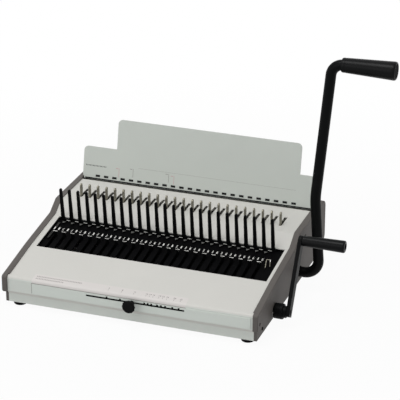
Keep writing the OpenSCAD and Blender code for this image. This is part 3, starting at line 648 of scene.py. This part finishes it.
def strip(path, thick, low, tops):
    """A bent strip on edge along a path in millimetres, with a top height at each point."""
    mesh = bmesh.new()
    rings = []
    for k, (x, y) in enumerate(path):
        before = Vector(path[max(k - 1, 0)])
        after = Vector(path[min(k + 1, len(path) - 1)])
        along = (after - before).normalized()
        side = Vector((along.y, -along.x)) * thick / 2
        ring = []
        for sign, z in ((-1, low), (1, low), (1, tops[k]), (-1, tops[k])):
            spot = ((x + sign * side.x) * MM, (y + sign * side.y) * MM, z * MM)
            ring.append(mesh.verts.new(spot))
        rings.append(ring)
    for first, second in zip(rings, rings[1:]):
        for k in range(4):
            mesh.faces.new([first[k], first[(k + 1) % 4], second[(k + 1) % 4], second[k]])
    mesh.faces.new(rings[0])
    mesh.faces.new(rings[-1])
    return mesh


def arc(centre, radius, first, last, steps):
    """Points on an arc, in degrees."""
    turns = [math.radians(first + (last - first) * k / steps) for k in range(steps + 1)]
    return [(centre[0] + radius * math.cos(a), centre[1] + radius * math.sin(a)) for a in turns]


def moved(mesh, matrix):
    """A mesh put in its place."""
    mesh.transform(matrix)
    return mesh


def joined(*parts):
    """Several meshes as one."""
    whole = bmesh.new()
    for part in parts:
        holder = bpy.data.meshes.new("part")
        bmesh.ops.recalc_face_normals(part, faces=part.faces)
        part.to_mesh(holder)
        part.free()
        whole.from_mesh(holder)
        bpy.data.meshes.remove(holder)
    return whole


def softened(node, width):
    """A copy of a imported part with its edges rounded."""
    mesh = bmesh.new()
    mesh.from_mesh(NODES[node].data)
    bmesh.ops.remove_doubles(mesh, verts=mesh.verts, dist=WELD)
    bmesh.ops.dissolve_limit(mesh, angle_limit=FLAT, verts=mesh.verts, edges=mesh.edges)
    return round_edges(mesh, width)


def piece(name, source, finish, body, slot, *nodes):
    """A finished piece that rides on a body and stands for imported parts."""
    if isinstance(source, bmesh.types.BMesh):
        mesh = bpy.data.meshes.new(name)
        bmesh.ops.recalc_face_normals(source, faces=source.faces)
        source.to_mesh(mesh)
        source.free()
    else:
        mesh = source
        mesh.name = name
    mesh.shade_smooth()
    mesh.set_sharp_from_angle(angle=SHARP)
    made = show(mesh)
    even = made.modifiers.new("even normals", "WEIGHTED_NORMAL")
    even.keep_sharp = True
    seen = made.evaluated_get(bpy.context.evaluated_depsgraph_get())
    made.data = bpy.data.meshes.new_from_object(seen)
    made.modifiers.clear()
    bpy.data.meshes.remove(mesh)
    made.data.name = name
    made.data.materials.clear()
    made.data.materials.append(FINISH[finish])
    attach(made, body)
    if nodes:
        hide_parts(*nodes)


def dressed(name, node, width, finish=None):
    """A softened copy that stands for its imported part."""
    slot = NODE_SLOT[node]
    piece(name, softened(node, width), finish or slot, NODE_BODY[node], slot, node)


def slab(low, high):
    """A thin block between two corners, in millimetres from the middle of the deck."""
    block = extruded(rectangle(low[0], low[1], high[0], high[1]), high[2] - low[2])
    return moved(block, Matrix.Translation(at(0, 0, low[2])))


def turned_x(angle):
    """A turn about X, in degrees."""
    return Matrix.Rotation(math.radians(angle), 4, "X")


def joint_frame(joint, lean):
    """Frame on a hinge axis at the middle of the deck, leaning back."""
    place = JOINTS[joint]["pos_m"]
    return Matrix.Translation((MID_X, place[1], place[2])) @ turned_x(-lean)


def tray_frame(sizes):
    """Frame of the comb well: X along the row, Y up the slope, Z square to it."""
    place = Matrix.Translation((MID_X, FRONT_Y + sizes.well_y, sizes.well_z))
    return place @ Matrix.Rotation(DECK_TILT, 4, "X")


def shift(x, y, z):
    """A move in millimetres."""
    return Matrix.Translation((x * MM, y * MM, z * MM))


def first_die(sizes):
    """Place of the first die along the row, from the middle of the deck."""
    return FIRST_TAB - sizes.tab_shift - MID_X


def socket_screw():
    """A button-head screw that points along X, with a hexagon recess."""
    head = [(-3, 0), (-3, 1.2), (0, 1.2), (0, 2.4), (0.5, 2.45), (1.0, 2.2), (1.35, 1.75), (1.4, 1.35)]
    recess = [(1.4, 0.85, "hex"), (0.5, 0.85, "hex"), (0.5, 0)]
    return lathe([*head, *recess], 24)


def panel_frame():
    """Frame on the front of the back panel: X along it, Z up it, Y into it."""
    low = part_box("back_panel")[0]
    return Matrix.Translation((MID_X, low.y, low.z)) @ turned_x(-11.5)


def bar_at(stand, x, y, width, height, thick):
    """A thin bar with its middle at a place of a frame, in millimetres."""
    bar = extruded(rectangle(-width / 2, -height / 2, width / 2, height / 2), thick)
    return moved(bar, stand @ shift(x, y, 0))


def bar_row(name, bar, finish, count, pitch, slot):
    """A printed row of like bars along X."""
    piece(name, row(name, bar, finish, count, (0, 0, 0), (pitch, 0, 0)), finish, "housing", slot)


def numeral(text, height, thick):
    """A plain number as a thin solid, centred, in millimetres."""
    size_to_height = 1.4
    words = bpy.data.curves.new("numeral", "FONT")
    words.body = text
    words.size = height * size_to_height * MM
    words.align_x = "CENTER"
    words.align_y = "CENTER"
    words.resolution_u = 3
    words.extrude = thick * MM / 2
    holder = show(words)
    seen = holder.evaluated_get(bpy.context.evaluated_depsgraph_get())
    flat = bpy.data.meshes.new_from_object(seen)
    mesh = bmesh.new()
    mesh.from_mesh(flat)
    bmesh.ops.remove_doubles(mesh, verts=mesh.verts, dist=WELD)
    moved(mesh, shift(0, 0, thick / 2))
    bpy.data.objects.remove(holder)
    bpy.data.meshes.remove(flat)
    return mesh


def lamp(name, place, aim, size, power):
    """A square soft light."""
    data = bpy.data.lights.new(name, "AREA")
    data.shape = "SQUARE"
    data.size = size
    data.energy = power
    made = show(data)
    made.location = place
    made.rotation_euler = (Vector(aim) - Vector(place)).to_track_quat("-Z", "Y").to_euler()


# Operators

class BINDER_OT_finishes(bpy.types.Operator):
    """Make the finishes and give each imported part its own"""

    bl_idname = "binder.finishes"
    bl_label = "Finishes"

    def execute(self, context):
        make_finishes(context.scene.binder_colours)
        for name, node in NODES.items():
            for holder in node.material_slots:
                holder.material = FINISH[NODE_SLOT[name]]
        row_graph()
        points_graph()
        tube_graph()
        return {"FINISHED"}


class BINDER_OT_covers(bpy.types.Operator):
    """Sheet covers, base, back panel and front plate with rounded edges"""

    bl_idname = "binder.covers"
    bl_label = "Sheet covers"

    def execute(self, context):
        sizes = context.scene.binder_sizes
        self.deck(sizes)
        dressed("rear_sheet", "rear_cover", sizes.edge_sheet)
        # Painted shade: the base pan takes the black coat instead of its own finish, so that the slots of the comb
        # well, which look down into it, show dark
        dressed("base_tray", "base_pan", sizes.edge_sheet, "black_metal")
        dressed("paper_panel", "back_panel", sizes.edge_sheet)
        dressed("stop_plate", "front_plate", sizes.edge_sheet / 2)
        # Painted shade: a thin matt black sheet behind the slot in the front plate, where the real slot holds only
        # shade
        slot_shade = slab((-95, 4.82, 31.5), (115, 4.98, 46))
        piece("slot_liner", slot_shade, "well_plastic", "housing", "black_plastic")
        # Painted shade: a thin matt black strip on the foot of the back panel, for the shade where the panel meets
        # the deck
        gap_shade = bar_at(panel_frame() @ turned_x(90), 0, 1.6, 380, 3.2, 0.25)
        piece("slot_felt", gap_shade, "well_plastic", "housing", "black_plastic")
        return {"FINISHED"}

    def deck(self, sizes):
        """Main cover, whose front face is marked for painted light: the same paint shown lighter and greener
        there.
        """
        facing = 0.95
        front_top = 60 * MM
        cover = softened("main_cover", sizes.edge_sheet)
        cover.normal_update()
        # Painted light: front faces low on the cover are marked to take a lighter, greener colour
        front = cover.faces.layers.float.new("front")
        for face in cover.faces:
            if face.normal.y < -facing and face.calc_center_median().z < front_top:
                face[front] = 1.0
        piece("deck_cover", cover, "light_paint", "housing", "light_paint", "main_cover")


class BINDER_OT_side_covers(bpy.types.Operator):
    """Moulded side covers"""

    bl_idname = "binder.side_covers"
    bl_label = "Side covers"

    def execute(self, context):
        sizes = context.scene.binder_sizes
        dressed("left_cheek", "left_side_cover", sizes.edge_mould)
        dressed("right_cheek", "right_side_cover", sizes.edge_mould)
        return {"FINISHED"}


class BINDER_OT_comb_well(bpy.types.Operator):
    """Tray of the comb well and the row of fixed fingers"""

    bl_idname = "binder.comb_well"
    bl_label = "Comb well and fingers"

    def execute(self, context):
        sizes = context.scene.binder_sizes
        dressed("comb_trough", "comb_tray", sizes.edge_sheet, "well_plastic")
        self.clips(sizes)
        self.wire(sizes)
        foot = sizes.finger_foot / MM / 2
        tip = sizes.finger_tip / MM / 2
        top = sizes.finger_h / MM - tip
        thick = sizes.finger_t / MM
        flare = [(foot + 0.9, -1.2), (foot + 0.35, -0.4), (foot, 0.8)]
        outline = [*flare, *arc((0.0, top), tip, 0, 180, 10), *[(-x, y) for x, y in flare[::-1]]]
        finger = round_edges(extruded(outline, thick), width=0.5 * MM)
        stand = tray_frame(sizes) @ shift(0, sizes.rake_u / MM + thick, 0) @ turned_x(90)
        moved(finger, stand)
        first = first_die(sizes) - COMB_PITCH / 2
        count = DIE_COUNT + 1
        fingers = row("fingers", finger, "black_metal", count, (first, 0, 0), (COMB_PITCH, 0, 0))
        margin = foot + 2.5
        left = first / MM - margin
        right = left + DIE_COUNT * COMB_PITCH / MM + 2 * margin
        rail = extruded(rectangle(left, -sizes.rail_low / MM, right, -1), thick)
        moved(round_edges(rail, width=0.35 * MM), stand)
        rail.from_mesh(fingers)
        piece("finger_row", rail, "black_metal", "housing", "black_metal", "finger_rake")
        return {"FINISHED"}

    def wire(self, sizes):
        """Bent wire beside the last hook, with a painted highlight on its bow."""
        last = (first_die(sizes) + (DIE_COUNT - 1) * COMB_PITCH) / MM
        foot = -TRAY_SINK
        left_leg = [(10.2, -1, foot), (9.2, 8, 2.4), (9.0, 10.6, 3.0), (9.6, 11.4, 3.2)]
        bow = [(14.2, 11.4, 3.2), (14.9, 10.6, 3.0), (15.3, 8, 2.0)]
        loop = [*left_leg, *bow, (15.8, 4, foot)]
        stand = tray_frame(sizes) @ shift(last, sizes.hook_u / MM, 0)
        # Painted highlight: the bow is a thicker bright-steel tube laid over the dull loop
        for name, spots, diameter, finish, slot in (
                ("end_wire", loop, 1.2 * MM, "tab_steel", "zinc_steel"),
                ("end_wire_bow", bow, 1.5 * MM, "bright_steel", "bright_steel")):
            places = [stand @ (Vector(spot) * MM) for spot in spots]
            bent = piped(name, places, diameter, 10, finish)
            piece(name, bent, finish, "housing", slot)

    def clips(self, sizes):
        """Comb rests whose tops show the metal, most of all at the fingers: partly wear, partly painted highlight
        for their glints.
        """
        node = "comb_rests"
        facing = 0.9
        # Share of metal shown up to each distance from the fingers, partly wear and partly painted highlight
        shares = ((6 * MM, 0.9), (12 * MM, 0.35), (math.inf, 0.15))
        clips = softened(node, sizes.edge_sheet / 2)
        clips.normal_update()
        bare = clips.faces.layers.float.new("bare")
        square = tray_frame(sizes).inverted()
        # Painted highlight in part: only the faces that look up get metal
        for face in clips.faces:
            if (square.to_3x3() @ face.normal).z > facing:
                ahead = sizes.rake_u - (square @ face.calc_center_median()).y
                face[bare] = next(share for reach, share in shares if ahead < reach)
        piece("comb_clips", clips, "rubbed_steel", NODE_BODY[node], NODE_SLOT[node], node)


class BINDER_OT_hooks(bpy.types.Operator):
    """Row of flat opener hooks on the stems of their carriage"""

    bl_idname = "binder.hooks"
    bl_label = "Opener hooks"

    def execute(self, context):
        sizes = context.scene.binder_sizes
        # Painted shade: the carriage and its stems take the black coat instead of their own finish, so that they
        # show dark in the slots of the comb well
        dressed("hook_stems", "hook_carriage", sizes.edge_steel / 2, "black_metal")
        thick = sizes.hook_t / MM
        front = thick / 2
        half = sizes.hook_w / MM / 2 - front
        rear = sizes.hook_d / MM
        bend = 3.0 - front
        high = sizes.hook_h / MM
        low = high - sizes.hook_sheet / MM
        ends = [(half, rear - step) for step in (0.0, 0.25, 0.7, 1.4, 2.4, 4.0, 8.0)]
        nose = [high - fallen for fallen in (0.9, 0.65, 0.4, 0.2, 0.05, 0.0, 0.0)]
        corner = arc((half - bend, front + bend), bend, 0, -90, 6)
        bar = [*corner[3:], *[(-x, y) for x, y in corner[:2:-1]]]
        bends = [ends[-1], *corner[:4]]
        # Painted reflection: the front bar and the ends are bright steel where the polished hooks catch the light,
        # and the bends between them are black coat for the dark surroundings that they reflect
        wear_and_glint = [strip(bar, thick, low, [high] * len(bar))]
        dark_reflection = []
        for side in (1, -1):
            broad = thick + 0.7 + 0.3 * side
            wear_and_glint.append(strip([(side * (x - 0.4), y) for x, y in ends], broad, low, nose))
            dark_reflection.append(strip([(side * x, y) for x, y in bends], thick, low, [high] * len(bends)))
        place = tray_frame(sizes) @ shift(0, sizes.hook_u / MM, 0)
        first = (first_die(sizes), 0, 0)
        for name, parts, finish, nodes in (
                ("hook_row", wear_and_glint, "bright_steel", ["hooks"]),
                ("hook_bends", dark_reflection, "black_metal", [])):
            hook = moved(round_edges(joined(*parts), width=0.25 * MM), place)
            hooks = row(name, hook, finish, DIE_COUNT, first, (COMB_PITCH, 0, 0))
            piece(name, hooks, finish, "hook_carriage", "bright_steel", *nodes)
        return {"FINISHED"}


class BINDER_OT_die_tabs(bpy.types.Operator):
    """Tab of each die slider"""

    bl_idname = "binder.die_tabs"
    bl_label = "Die tabs"

    def execute(self, context):
        width = context.scene.binder_sizes.edge_steel
        for node in SLIDERS:
            dressed(node.replace("slider", "tab"), node, width)
        return {"FINISHED"}


class BINDER_OT_lever(bpy.types.Operator):
    """Bent lever tube and its grip"""

    bl_idname = "binder.lever"
    bl_label = "Punch lever"

    def execute(self, context):
        sizes = context.scene.binder_sizes
        stand = joint_frame("punch_lever", lean=5)
        end = sizes.grip_l / MM
        lap = 1.9
        path = self.path(sizes)
        grip_x = path[-1][0] - lap
        grip_z = path[-1][1]
        path.append((grip_x + end - 1, grip_z))
        places = [stand @ Vector((x * MM, 0.0, z * MM)) for x, z in path]
        tube = piped("lever_path", places, sizes.tube_d, 48, "black_metal")
        piece("lever_bar", tube, "black_metal", "punch_lever", "black_metal", "lever_tube")
        at_grip = stand @ shift(grip_x, 0, grip_z)
        grip = moved(lathe(self.grip(end, sizes.tube_d / MM / 2), 72), at_grip)
        piece("lever_handgrip", grip, "grip", "punch_lever", "black_rubber", "lever_grip")
        button = [(0.5, 0), (0.5, 10.6), (1.2, 10.6), (1.3, 9), (1.3, 0)]
        plug = moved(lathe([(end + x, radius) for x, radius in button], 48), at_grip)
        piece("grip_plug", plug, "well_plastic", "punch_lever", "black_plastic")
        return {"FINISHED"}

    def path(self, sizes):
        """Middle line of the tube up to the grip, as bends after straight runs."""
        path = [(DECK_HALF / MM + 6, 0.0)]
        heading = 0.0
        # Each bend: straight run before it, radius, turn in degrees, steps
        elbow = (9.4, 21, 95.8, 20)
        kink = (sizes.lever_low / MM, 130, -10, 8)
        crook = (sizes.lever_high / MM, 18, -85.8, 18)
        for run, radius, turn, steps in (elbow, kink, crook):
            ahead = Vector((math.cos(math.radians(heading)), math.sin(math.radians(heading))))
            corner = Vector(path[-1]) + run * ahead
            sign = math.copysign(1, turn)
            centre = corner + sign * radius * Vector((-ahead.y, ahead.x))
            open_at = heading - 90 * sign
            path.extend(arc(centre, radius, open_at, open_at + turn, steps))
            heading += turn
        return path

    def grip(self, end, bore):
        """Rings of the grip from its mouth on the tube to the dish in its end."""
        mouth = [(0.3, bore - 0.3), (0.0, bore + 0.6), (0.0, 9.3), (0.35, 10.1), (1.1, 10.75), (2.2, 11.0)]
        groove = [(5.0, 11.1), (5.3, 10.8), (6.1, 10.8), (6.4, 11.15)]
        body = [(6.4 + (end - 9.4) * k / 12, 11.15 + 2.75 * (k / 12) ** 0.97) for k in range(1, 13)]
        rim = [(-1.2, 13.96), (0.4, 13.7), (1.4, 13.1), (1.85, 12.4), (1.95, 11.8)]
        dish = [(1.8, 11.2), (1.1, 10.8), (0.9, 5.5), (0.9, 0)]
        return [*mouth, *groove, *body, *[(end + x, radius) for x, radius in [*rim, *dish]]]


class BINDER_OT_crank(bpy.types.Operator):
    """Hub, arm and handle of the opener crank"""

    bl_idname = "binder.crank"
    bl_label = "Opener crank"

    def execute(self, context):
        sizes = context.scene.binder_sizes
        stand = joint_frame("opener_crank", lean=30)
        self.boss(stand)
        dressed("crank_bar", "crank_arm", 2 * sizes.edge_steel)
        out = (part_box("crank_arm")[1].x - MID_X) / MM
        head = [(-0.1, 0), (-0.1, 4.2), (0.3, 4.2), (0.6, 4.0), (0.8, 3.4)]
        recess = [(0.8, 1.5, "hex"), (0.2, 1.5, "hex"), (0.2, 0)]
        screw = moved(lathe([*head, *recess], 36), stand @ shift(out, 0, 0))
        piece("crank_screw", screw, "black_metal", "opener_crank", "black_metal")
        end = sizes.handle_l / MM
        neck = [(0, 0), (0, 6.6), (0.25, 7.2), (0.9, 7.7), (1.8, 7.8)]
        body = [(1.8 + (end - 5.8) * k / 10, 7.8 + 1.4 * (k / 10) ** 0.8) for k in range(1, 11)]
        cap = [(2.2, 9.2), (1.0, 8.9), (0.3, 8.1), (0, 7.0), (0, 5.2), (0.4, 4.7), (1.6, 4.5), (1.6, 0)]
        rings = [*neck, *body, *[(end - x, radius) for x, radius in cap]]
        handle = moved(lathe(rings), stand @ shift(out, 0, sizes.crank_r / MM))
        piece("crank_grip", handle, "grip", "opener_crank", "black_plastic", "crank_handle")
        return {"FINISHED"}

    def boss(self, stand):
        """Hub with a groove round its drum and a narrower neck."""
        low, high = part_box("crank_hub")
        start = (low.x - MID_X) / MM
        run = (high.x - low.x) / MM
        drum = run - 4.8
        collar = [(0, 6), (0, 10.9), (0.7, 11.65), (8.0, 11.75), (8.3, 11.35), (9.0, 11.35), (9.3, 11.75)]
        flange = [(drum - 1.0, 11.75), (drum - 0.2, 11.4), (drum, 10.7), (drum, 9.2), (drum + 0.3, 9.0)]
        neck = [(run - 0.4, 9.0), (run, 8.6), (run, 6)]
        hub = moved(lathe([*collar, *flange, *neck]), stand @ shift(start, 0, 0))
        piece("crank_boss", hub, "black_plastic", "opener_crank", "black_plastic", "crank_hub")


class BINDER_OT_stop(bpy.types.Operator):
    """Fluted knob of the opening stop"""

    bl_idname = "binder.stop"
    bl_label = "Stop knob"

    def execute(self, context):
        sizes = context.scene.binder_sizes
        low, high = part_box("stop_knob")
        middle = Vector(((low.x + high.x) / 2, low.y, (low.z + high.z) / 2))
        deep = (high.y - low.y) / MM
        rim = sizes.knob_d / MM / 2
        dish = [(0.5, 0), (0.5, rim - 5.0), (0.2, rim - 4.0), (0, rim - 3.0)]
        brow = [(0.2, rim - 1.8), (0.7, rim - 0.8)]
        flutes = [(1.4, rim - 0.15, "flute", 0.7), (2.2, rim, "flute", 1.0), (3.0, rim, "flute", 1.0),
                  (3.6, rim - 0.4, "flute", 0.5)]
        neck = [(4.0, rim - 1.1), (6.5, 4.0), (15.5, 4.0), (15.5, 1.25), (deep, 1.25), (deep, 0)]
        knob = lathe([*dish, *brow, *flutes, *neck], sizes.knob_flutes * 6, sizes.knob_flutes)
        moved(knob, Matrix.Translation(middle) @ Matrix.Rotation(math.pi / 2, 4, "Z"))
        piece("stop_handwheel", knob, "black_plastic", "stop_knob", "black_plastic", "stop_knob")
        return {"FINISHED"}


class BINDER_OT_feet(bpy.types.Operator):
    """Rubber feet with a recess underneath"""

    bl_idname = "binder.feet"
    bl_label = "Feet"

    def execute(self, context):
        low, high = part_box("feet")
        tall = high.z / MM
        radius = 11
        recess = [(1.6, 0), (1.6, 2.6), (1.4, 3.4), (0.2, 3.8), (0, 4.2)]
        wall = [(0, 2.6), (0.25, 1.8), (1.0, 1.05), (2.6, 0.8), (2.9, 1.05), (3.3, 1.05), (3.6, 0.6),
                (tall - 0.8, 0.1), (tall - 0.2, 0), (tall, 0.3)]
        rings = [*recess, *[(x, radius - inset) for x, inset in wall], (tall, 0)]
        foot = moved(lathe(rings, 40), Matrix.Rotation(-math.pi / 2, 4, "Y"))
        reach = radius * MM
        columns = (low.x + reach, high.x - reach)
        places = [(x, y, 0.0) for x in columns for y in (low.y + reach, high.y - reach)]
        feet = on_points("rubber_feet", foot, "black_rubber", places)
        piece("rubber_feet", feet, "black_rubber", "housing", "black_rubber", "feet")
        return {"FINISHED"}


class BINDER_OT_drawer(bpy.types.Operator):
    """Chip drawer with rounded edges"""

    bl_idname = "binder.drawer"
    bl_label = "Chip drawer"

    def execute(self, context):
        dressed("chip_tray", "chip_drawer", context.scene.binder_sizes.edge_mould)
        return {"FINISHED"}


class BINDER_OT_fasteners(bpy.types.Operator):
    """Screws of the side covers and of the rear cover"""

    bl_idname = "binder.fasteners"
    bl_label = "Screws"

    def execute(self, context):
        lip = (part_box("cover_screws")[1].x - MID_X) / MM - 0.9
        skirt = DECK_HALF / MM + 4.5
        spots = [(lip, 7, 33.6), (lip, 316, 31), (lip, 230, 76.5), (skirt, 29.4, 15.3)]
        right = [at(x, y, z) for x, y, z in spots]
        left = [at(-x, y, z) for x, y, z in spots]
        back = (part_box("rear_cover")[1].y - FRONT_Y) / MM - 1.4
        rear = [at(x, back, 66) for x in (-165, -60, 60, 165)]
        for name, places, turn, finish, nodes in (
                ("right_cheek_screws", right, 0.0, "black_metal", ["cover_screws"]),
                ("left_cheek_screws", left, math.pi, "black_metal", []),
                ("rear_screws", rear, math.pi / 2, "zinc_steel", [])):
            screws = on_points(name, socket_screw(), finish, places, (0.0, 0.0, turn))
            piece(name, screws, finish, "housing", finish, *nodes)
        return {"FINISHED"}


class BINDER_OT_prints(bpy.types.Operator):
    """Die marks and ticks on the back panel, foil and scale along the front edge"""

    bl_idname = "binder.prints"
    bl_label = "Printed marks"

    def execute(self, context):
        sizes = context.scene.binder_sizes
        thick = sizes.print_t / MM
        self.panel(sizes, thick)
        self.front_edge(thick)
        return {"FINISHED"}

    def panel(self, sizes, thick):
        """Die marks, fine scale and ticks with a flag on the back panel."""
        stand = panel_frame() @ shift(0, 0.01, 0) @ turned_x(90)
        first = first_die(sizes) / MM
        mark = bar_at(stand, first, 6.9, sizes.mark_w / MM, sizes.mark_h / MM, thick)
        bar_row("die_marks", mark, "ink", DIE_COUNT, COMB_PITCH, "black_plastic")
        fine = bar_at(stand, -189, 23, 0.9, 2.2, thick)
        bar_row("panel_scale", fine, "ink", 15, 2.4 * MM, "black_plastic")
        line = bar_at(stand, 31.5, 28.3, 262, 0.2, thick)
        for name, finish, bars, columns, y in (
                ("panel_lines", "grey_ink", [line], (-108.5, -48), 19.1),
                ("panel_rose_ticks", "rose", [], (-132.5, -39), 17)):
            ticks = [bar_at(stand, x, y, 0.5, 14, thick) for x in columns]
            flags = [bar_at(stand, x - 3.5, y + 6.2, 4, 0.7, thick) for x in columns]
            piece(name, joined(*bars, *ticks, *flags), finish, "housing", "grey_paint")

    def front_edge(self, thick):
        """Foil over the front fold, painted shadow along the edges of the front plate, and the scale and numbers
        on the foil.
        """
        # Height of the front face, and the slope of the deck behind it
        front_h = 49.5
        rise = 14.5
        depth = 84
        slope = math.degrees(math.atan2(rise, depth))
        # Foil that goes round the fold
        left = -153.2
        foil_l = 243
        film = 0.12
        low = 44.3
        fold_r = 5.0
        fold = (fold_r, 45.29)
        lap = Vector((depth, rise)).normalized() * 12.5
        inner = [(0.0, low), *arc(fold, fold_r, 180, 90 + slope, 8)]
        outer = [(-film, low), *arc(fold, fold_r + film, 180, 90 + slope, 8)]
        for edge in (inner, outer):
            edge.append(tuple(Vector(edge[-1]) + lap))
        foil = extruded([*outer, *inner[::-1]], foil_l)
        along_x = Matrix(((0, 0, 1, 0), (1, 0, 0, 0), (0, 1, 0, 0), (0, 0, 0, 1)))
        moved(foil, Matrix.Translation(at(left, 0, 0)) @ along_x)
        piece("scale_foil", foil, "scale_foil", "housing", "front_foil")
        # Painted shadow: grey print strips along the left edge of the front plate and along its top edge below the
        # foil, for the shade in these joints
        seam_shadow = slab((left - 0.7, -0.1, 27.6), (left, 0.0, 44.4))
        gap_shadow = slab((left, -0.2, 44.0), (90, -film, 44.7))
        piece("plate_seam", joined(seam_shadow, gap_shadow), "grey_ink", "housing", "front_foil")
        deck = Matrix.Translation(at(0, 0, front_h)) @ turned_x(slope) @ shift(0, 0, film - 0.01)
        for name, count, y in (("edge_scale", 29, 11.5), ("edge_fine_scale", 18, 6.0)):
            tick = bar_at(deck, -148, y, 0.9, 2.6, thick)
            bar_row(name, tick, "grey_ink", count, 2.5 * MM, "front_foil")
        columns = (-33, -12, 7, 26, 31.5, 37, 46, 52, 58.5, 69.5, 79.5)
        numbers = (6, 8, 10, 12, 14, 16, 19, 22, 25, 28, 32)
        ticks = [bar_at(deck, x, 6.4, 0.5, 2.6, thick) for x in columns]
        piece("edge_ticks", joined(*ticks), "grey_ink", "housing", "front_foil")
        labels = []
        for x, number in zip(columns, numbers):
            labels.append(moved(numeral(str(number), 3.0, thick), deck @ shift(x, 10.6, 0)))
        piece("edge_numbers", joined(*labels), "grey_ink", "housing", "front_foil")


class BINDER_OT_stage(bpy.types.Operator):
    """Floor, light and camera"""

    bl_idname = "binder.stage"
    bl_label = "Stage"

    def execute(self, context):
        scene = context.scene
        scene.view_settings.view_transform = "Standard"
        self.floor()
        self.world(scene)
        lamp("top softbox", (-0.35, -0.55, 2.3), (0.0, 0.0, 0.1), size=1.0, power=25.0)
        lamp("front softbox", (-1.2, -2.4, 1.3), (0.0, 0.0, 0.1), size=1.6, power=13.0)
        lamp("right softbox", (2.3, -0.6, 1.2), (0.1, 0.0, 0.1), size=1.2, power=1.0)
        self.camera(scene)
        return {"FINISHED"}

    def camera(self, scene):
        """Camera at the photograph's viewing angle."""
        down = 23.87
        aside = 19.52
        camera = bpy.data.cameras.new("photo camera")
        camera.sensor_width = 36.0
        camera.lens = 179.37
        camera.clip_end = 100.0
        made = show(camera)
        made.location = at(970, -2420, 1355)
        made.rotation_euler = (math.radians(90 - down), 0.0, math.radians(aside))
        scene.camera = made

    def seen(self, sheet):
        """1 for rays that show the background as it is."""
        total = 0.0
        for kind in ("Is Camera Ray", "Is Glossy Ray", "Is Transmission Ray"):
            total = sheet.node("ShaderNodeLightPath", out=kind) + total
        return total.clamped()

    def floor(self):
        """Pale floor that keeps the shadow and fades to white away from the object."""
        mesh = bmesh.new()
        bmesh.ops.create_grid(mesh, x_segments=4, y_segments=4, size=20.0)
        data = bpy.data.meshes.new("floor")
        mesh.to_mesh(data)
        mesh.free()
        material, sheet = new_finish("white floor")
        matt = sheet.node("ShaderNodeBsdfDiffuse", {}, {"Color": (0.6, 0.6, 0.6, 1.0)})
        glow = sheet.node("ShaderNodeEmission", {}, {"Color": WHITE, "Strength": 1.0})
        measure = {"operation": "LENGTH"}
        away = sheet.node("ShaderNodeVectorMath", measure, {0: sheet.place()}, out="Value")
        white = ((away - 0.3) * 1.6).clamped() * 0.05 + 0.95
        mixed = sheet.node("ShaderNodeMixShader", {}, {0: self.seen(sheet) * white, 1: matt, 2: glow})
        sheet.node("ShaderNodeOutputMaterial", {}, {"Surface": mixed})
        data.materials.append(material)
        show(data)

    def world(self, scene):
        """White surroundings that light the object at half strength."""
        scene.world = bpy.data.worlds.new("studio")
        sheet = Sheet(scene.world)
        strength = self.seen(sheet) * 0.5 + 0.5
        sky = sheet.node("ShaderNodeBackground", {}, {"Color": WHITE, "Strength": strength})
        sheet.node("ShaderNodeOutputWorld", {}, {"Surface": sky})


OPERATORS = (
    BINDER_OT_finishes, BINDER_OT_covers, BINDER_OT_side_covers, BINDER_OT_comb_well, BINDER_OT_hooks,
    BINDER_OT_die_tabs, BINDER_OT_lever, BINDER_OT_crank, BINDER_OT_stop, BINDER_OT_feet,
    BINDER_OT_drawer, BINDER_OT_fasteners, BINDER_OT_prints, BINDER_OT_stage)


class BINDER_PT_panel(bpy.types.Panel):
    """Pieces, sizes and colours of the binding machine"""

    bl_idname = "BINDER_PT_panel"
    bl_label = "Comb Binding Machine"
    bl_space_type = "VIEW_3D"
    bl_region_type = "UI"
    bl_category = "Binder"

    def draw(self, context):
        layout = self.layout
        for operator in OPERATORS:
            layout.operator(operator.bl_idname)
        for group in (context.scene.binder_sizes, context.scene.binder_colours):
            column = layout.column()
            for name in group.__annotations__:
                column.prop(group, name)


CLASSES = (BinderSizes, BinderColours, *OPERATORS, BINDER_PT_panel)


def register():
    for made in CLASSES:
        bpy.utils.register_class(made)
    bpy.types.Scene.binder_sizes = PointerProperty(type=BinderSizes)
    bpy.types.Scene.binder_colours = PointerProperty(type=BinderColours)


def unregister():
    del bpy.types.Scene.binder_colours
    del bpy.types.Scene.binder_sizes
    for made in reversed(CLASSES):
        bpy.utils.unregister_class(made)


def main():
    register()
    for operator in OPERATORS:
        group, name = operator.bl_idname.split(".")
        getattr(getattr(bpy.ops, group), name)()


if __name__ == "__main__":
    main()
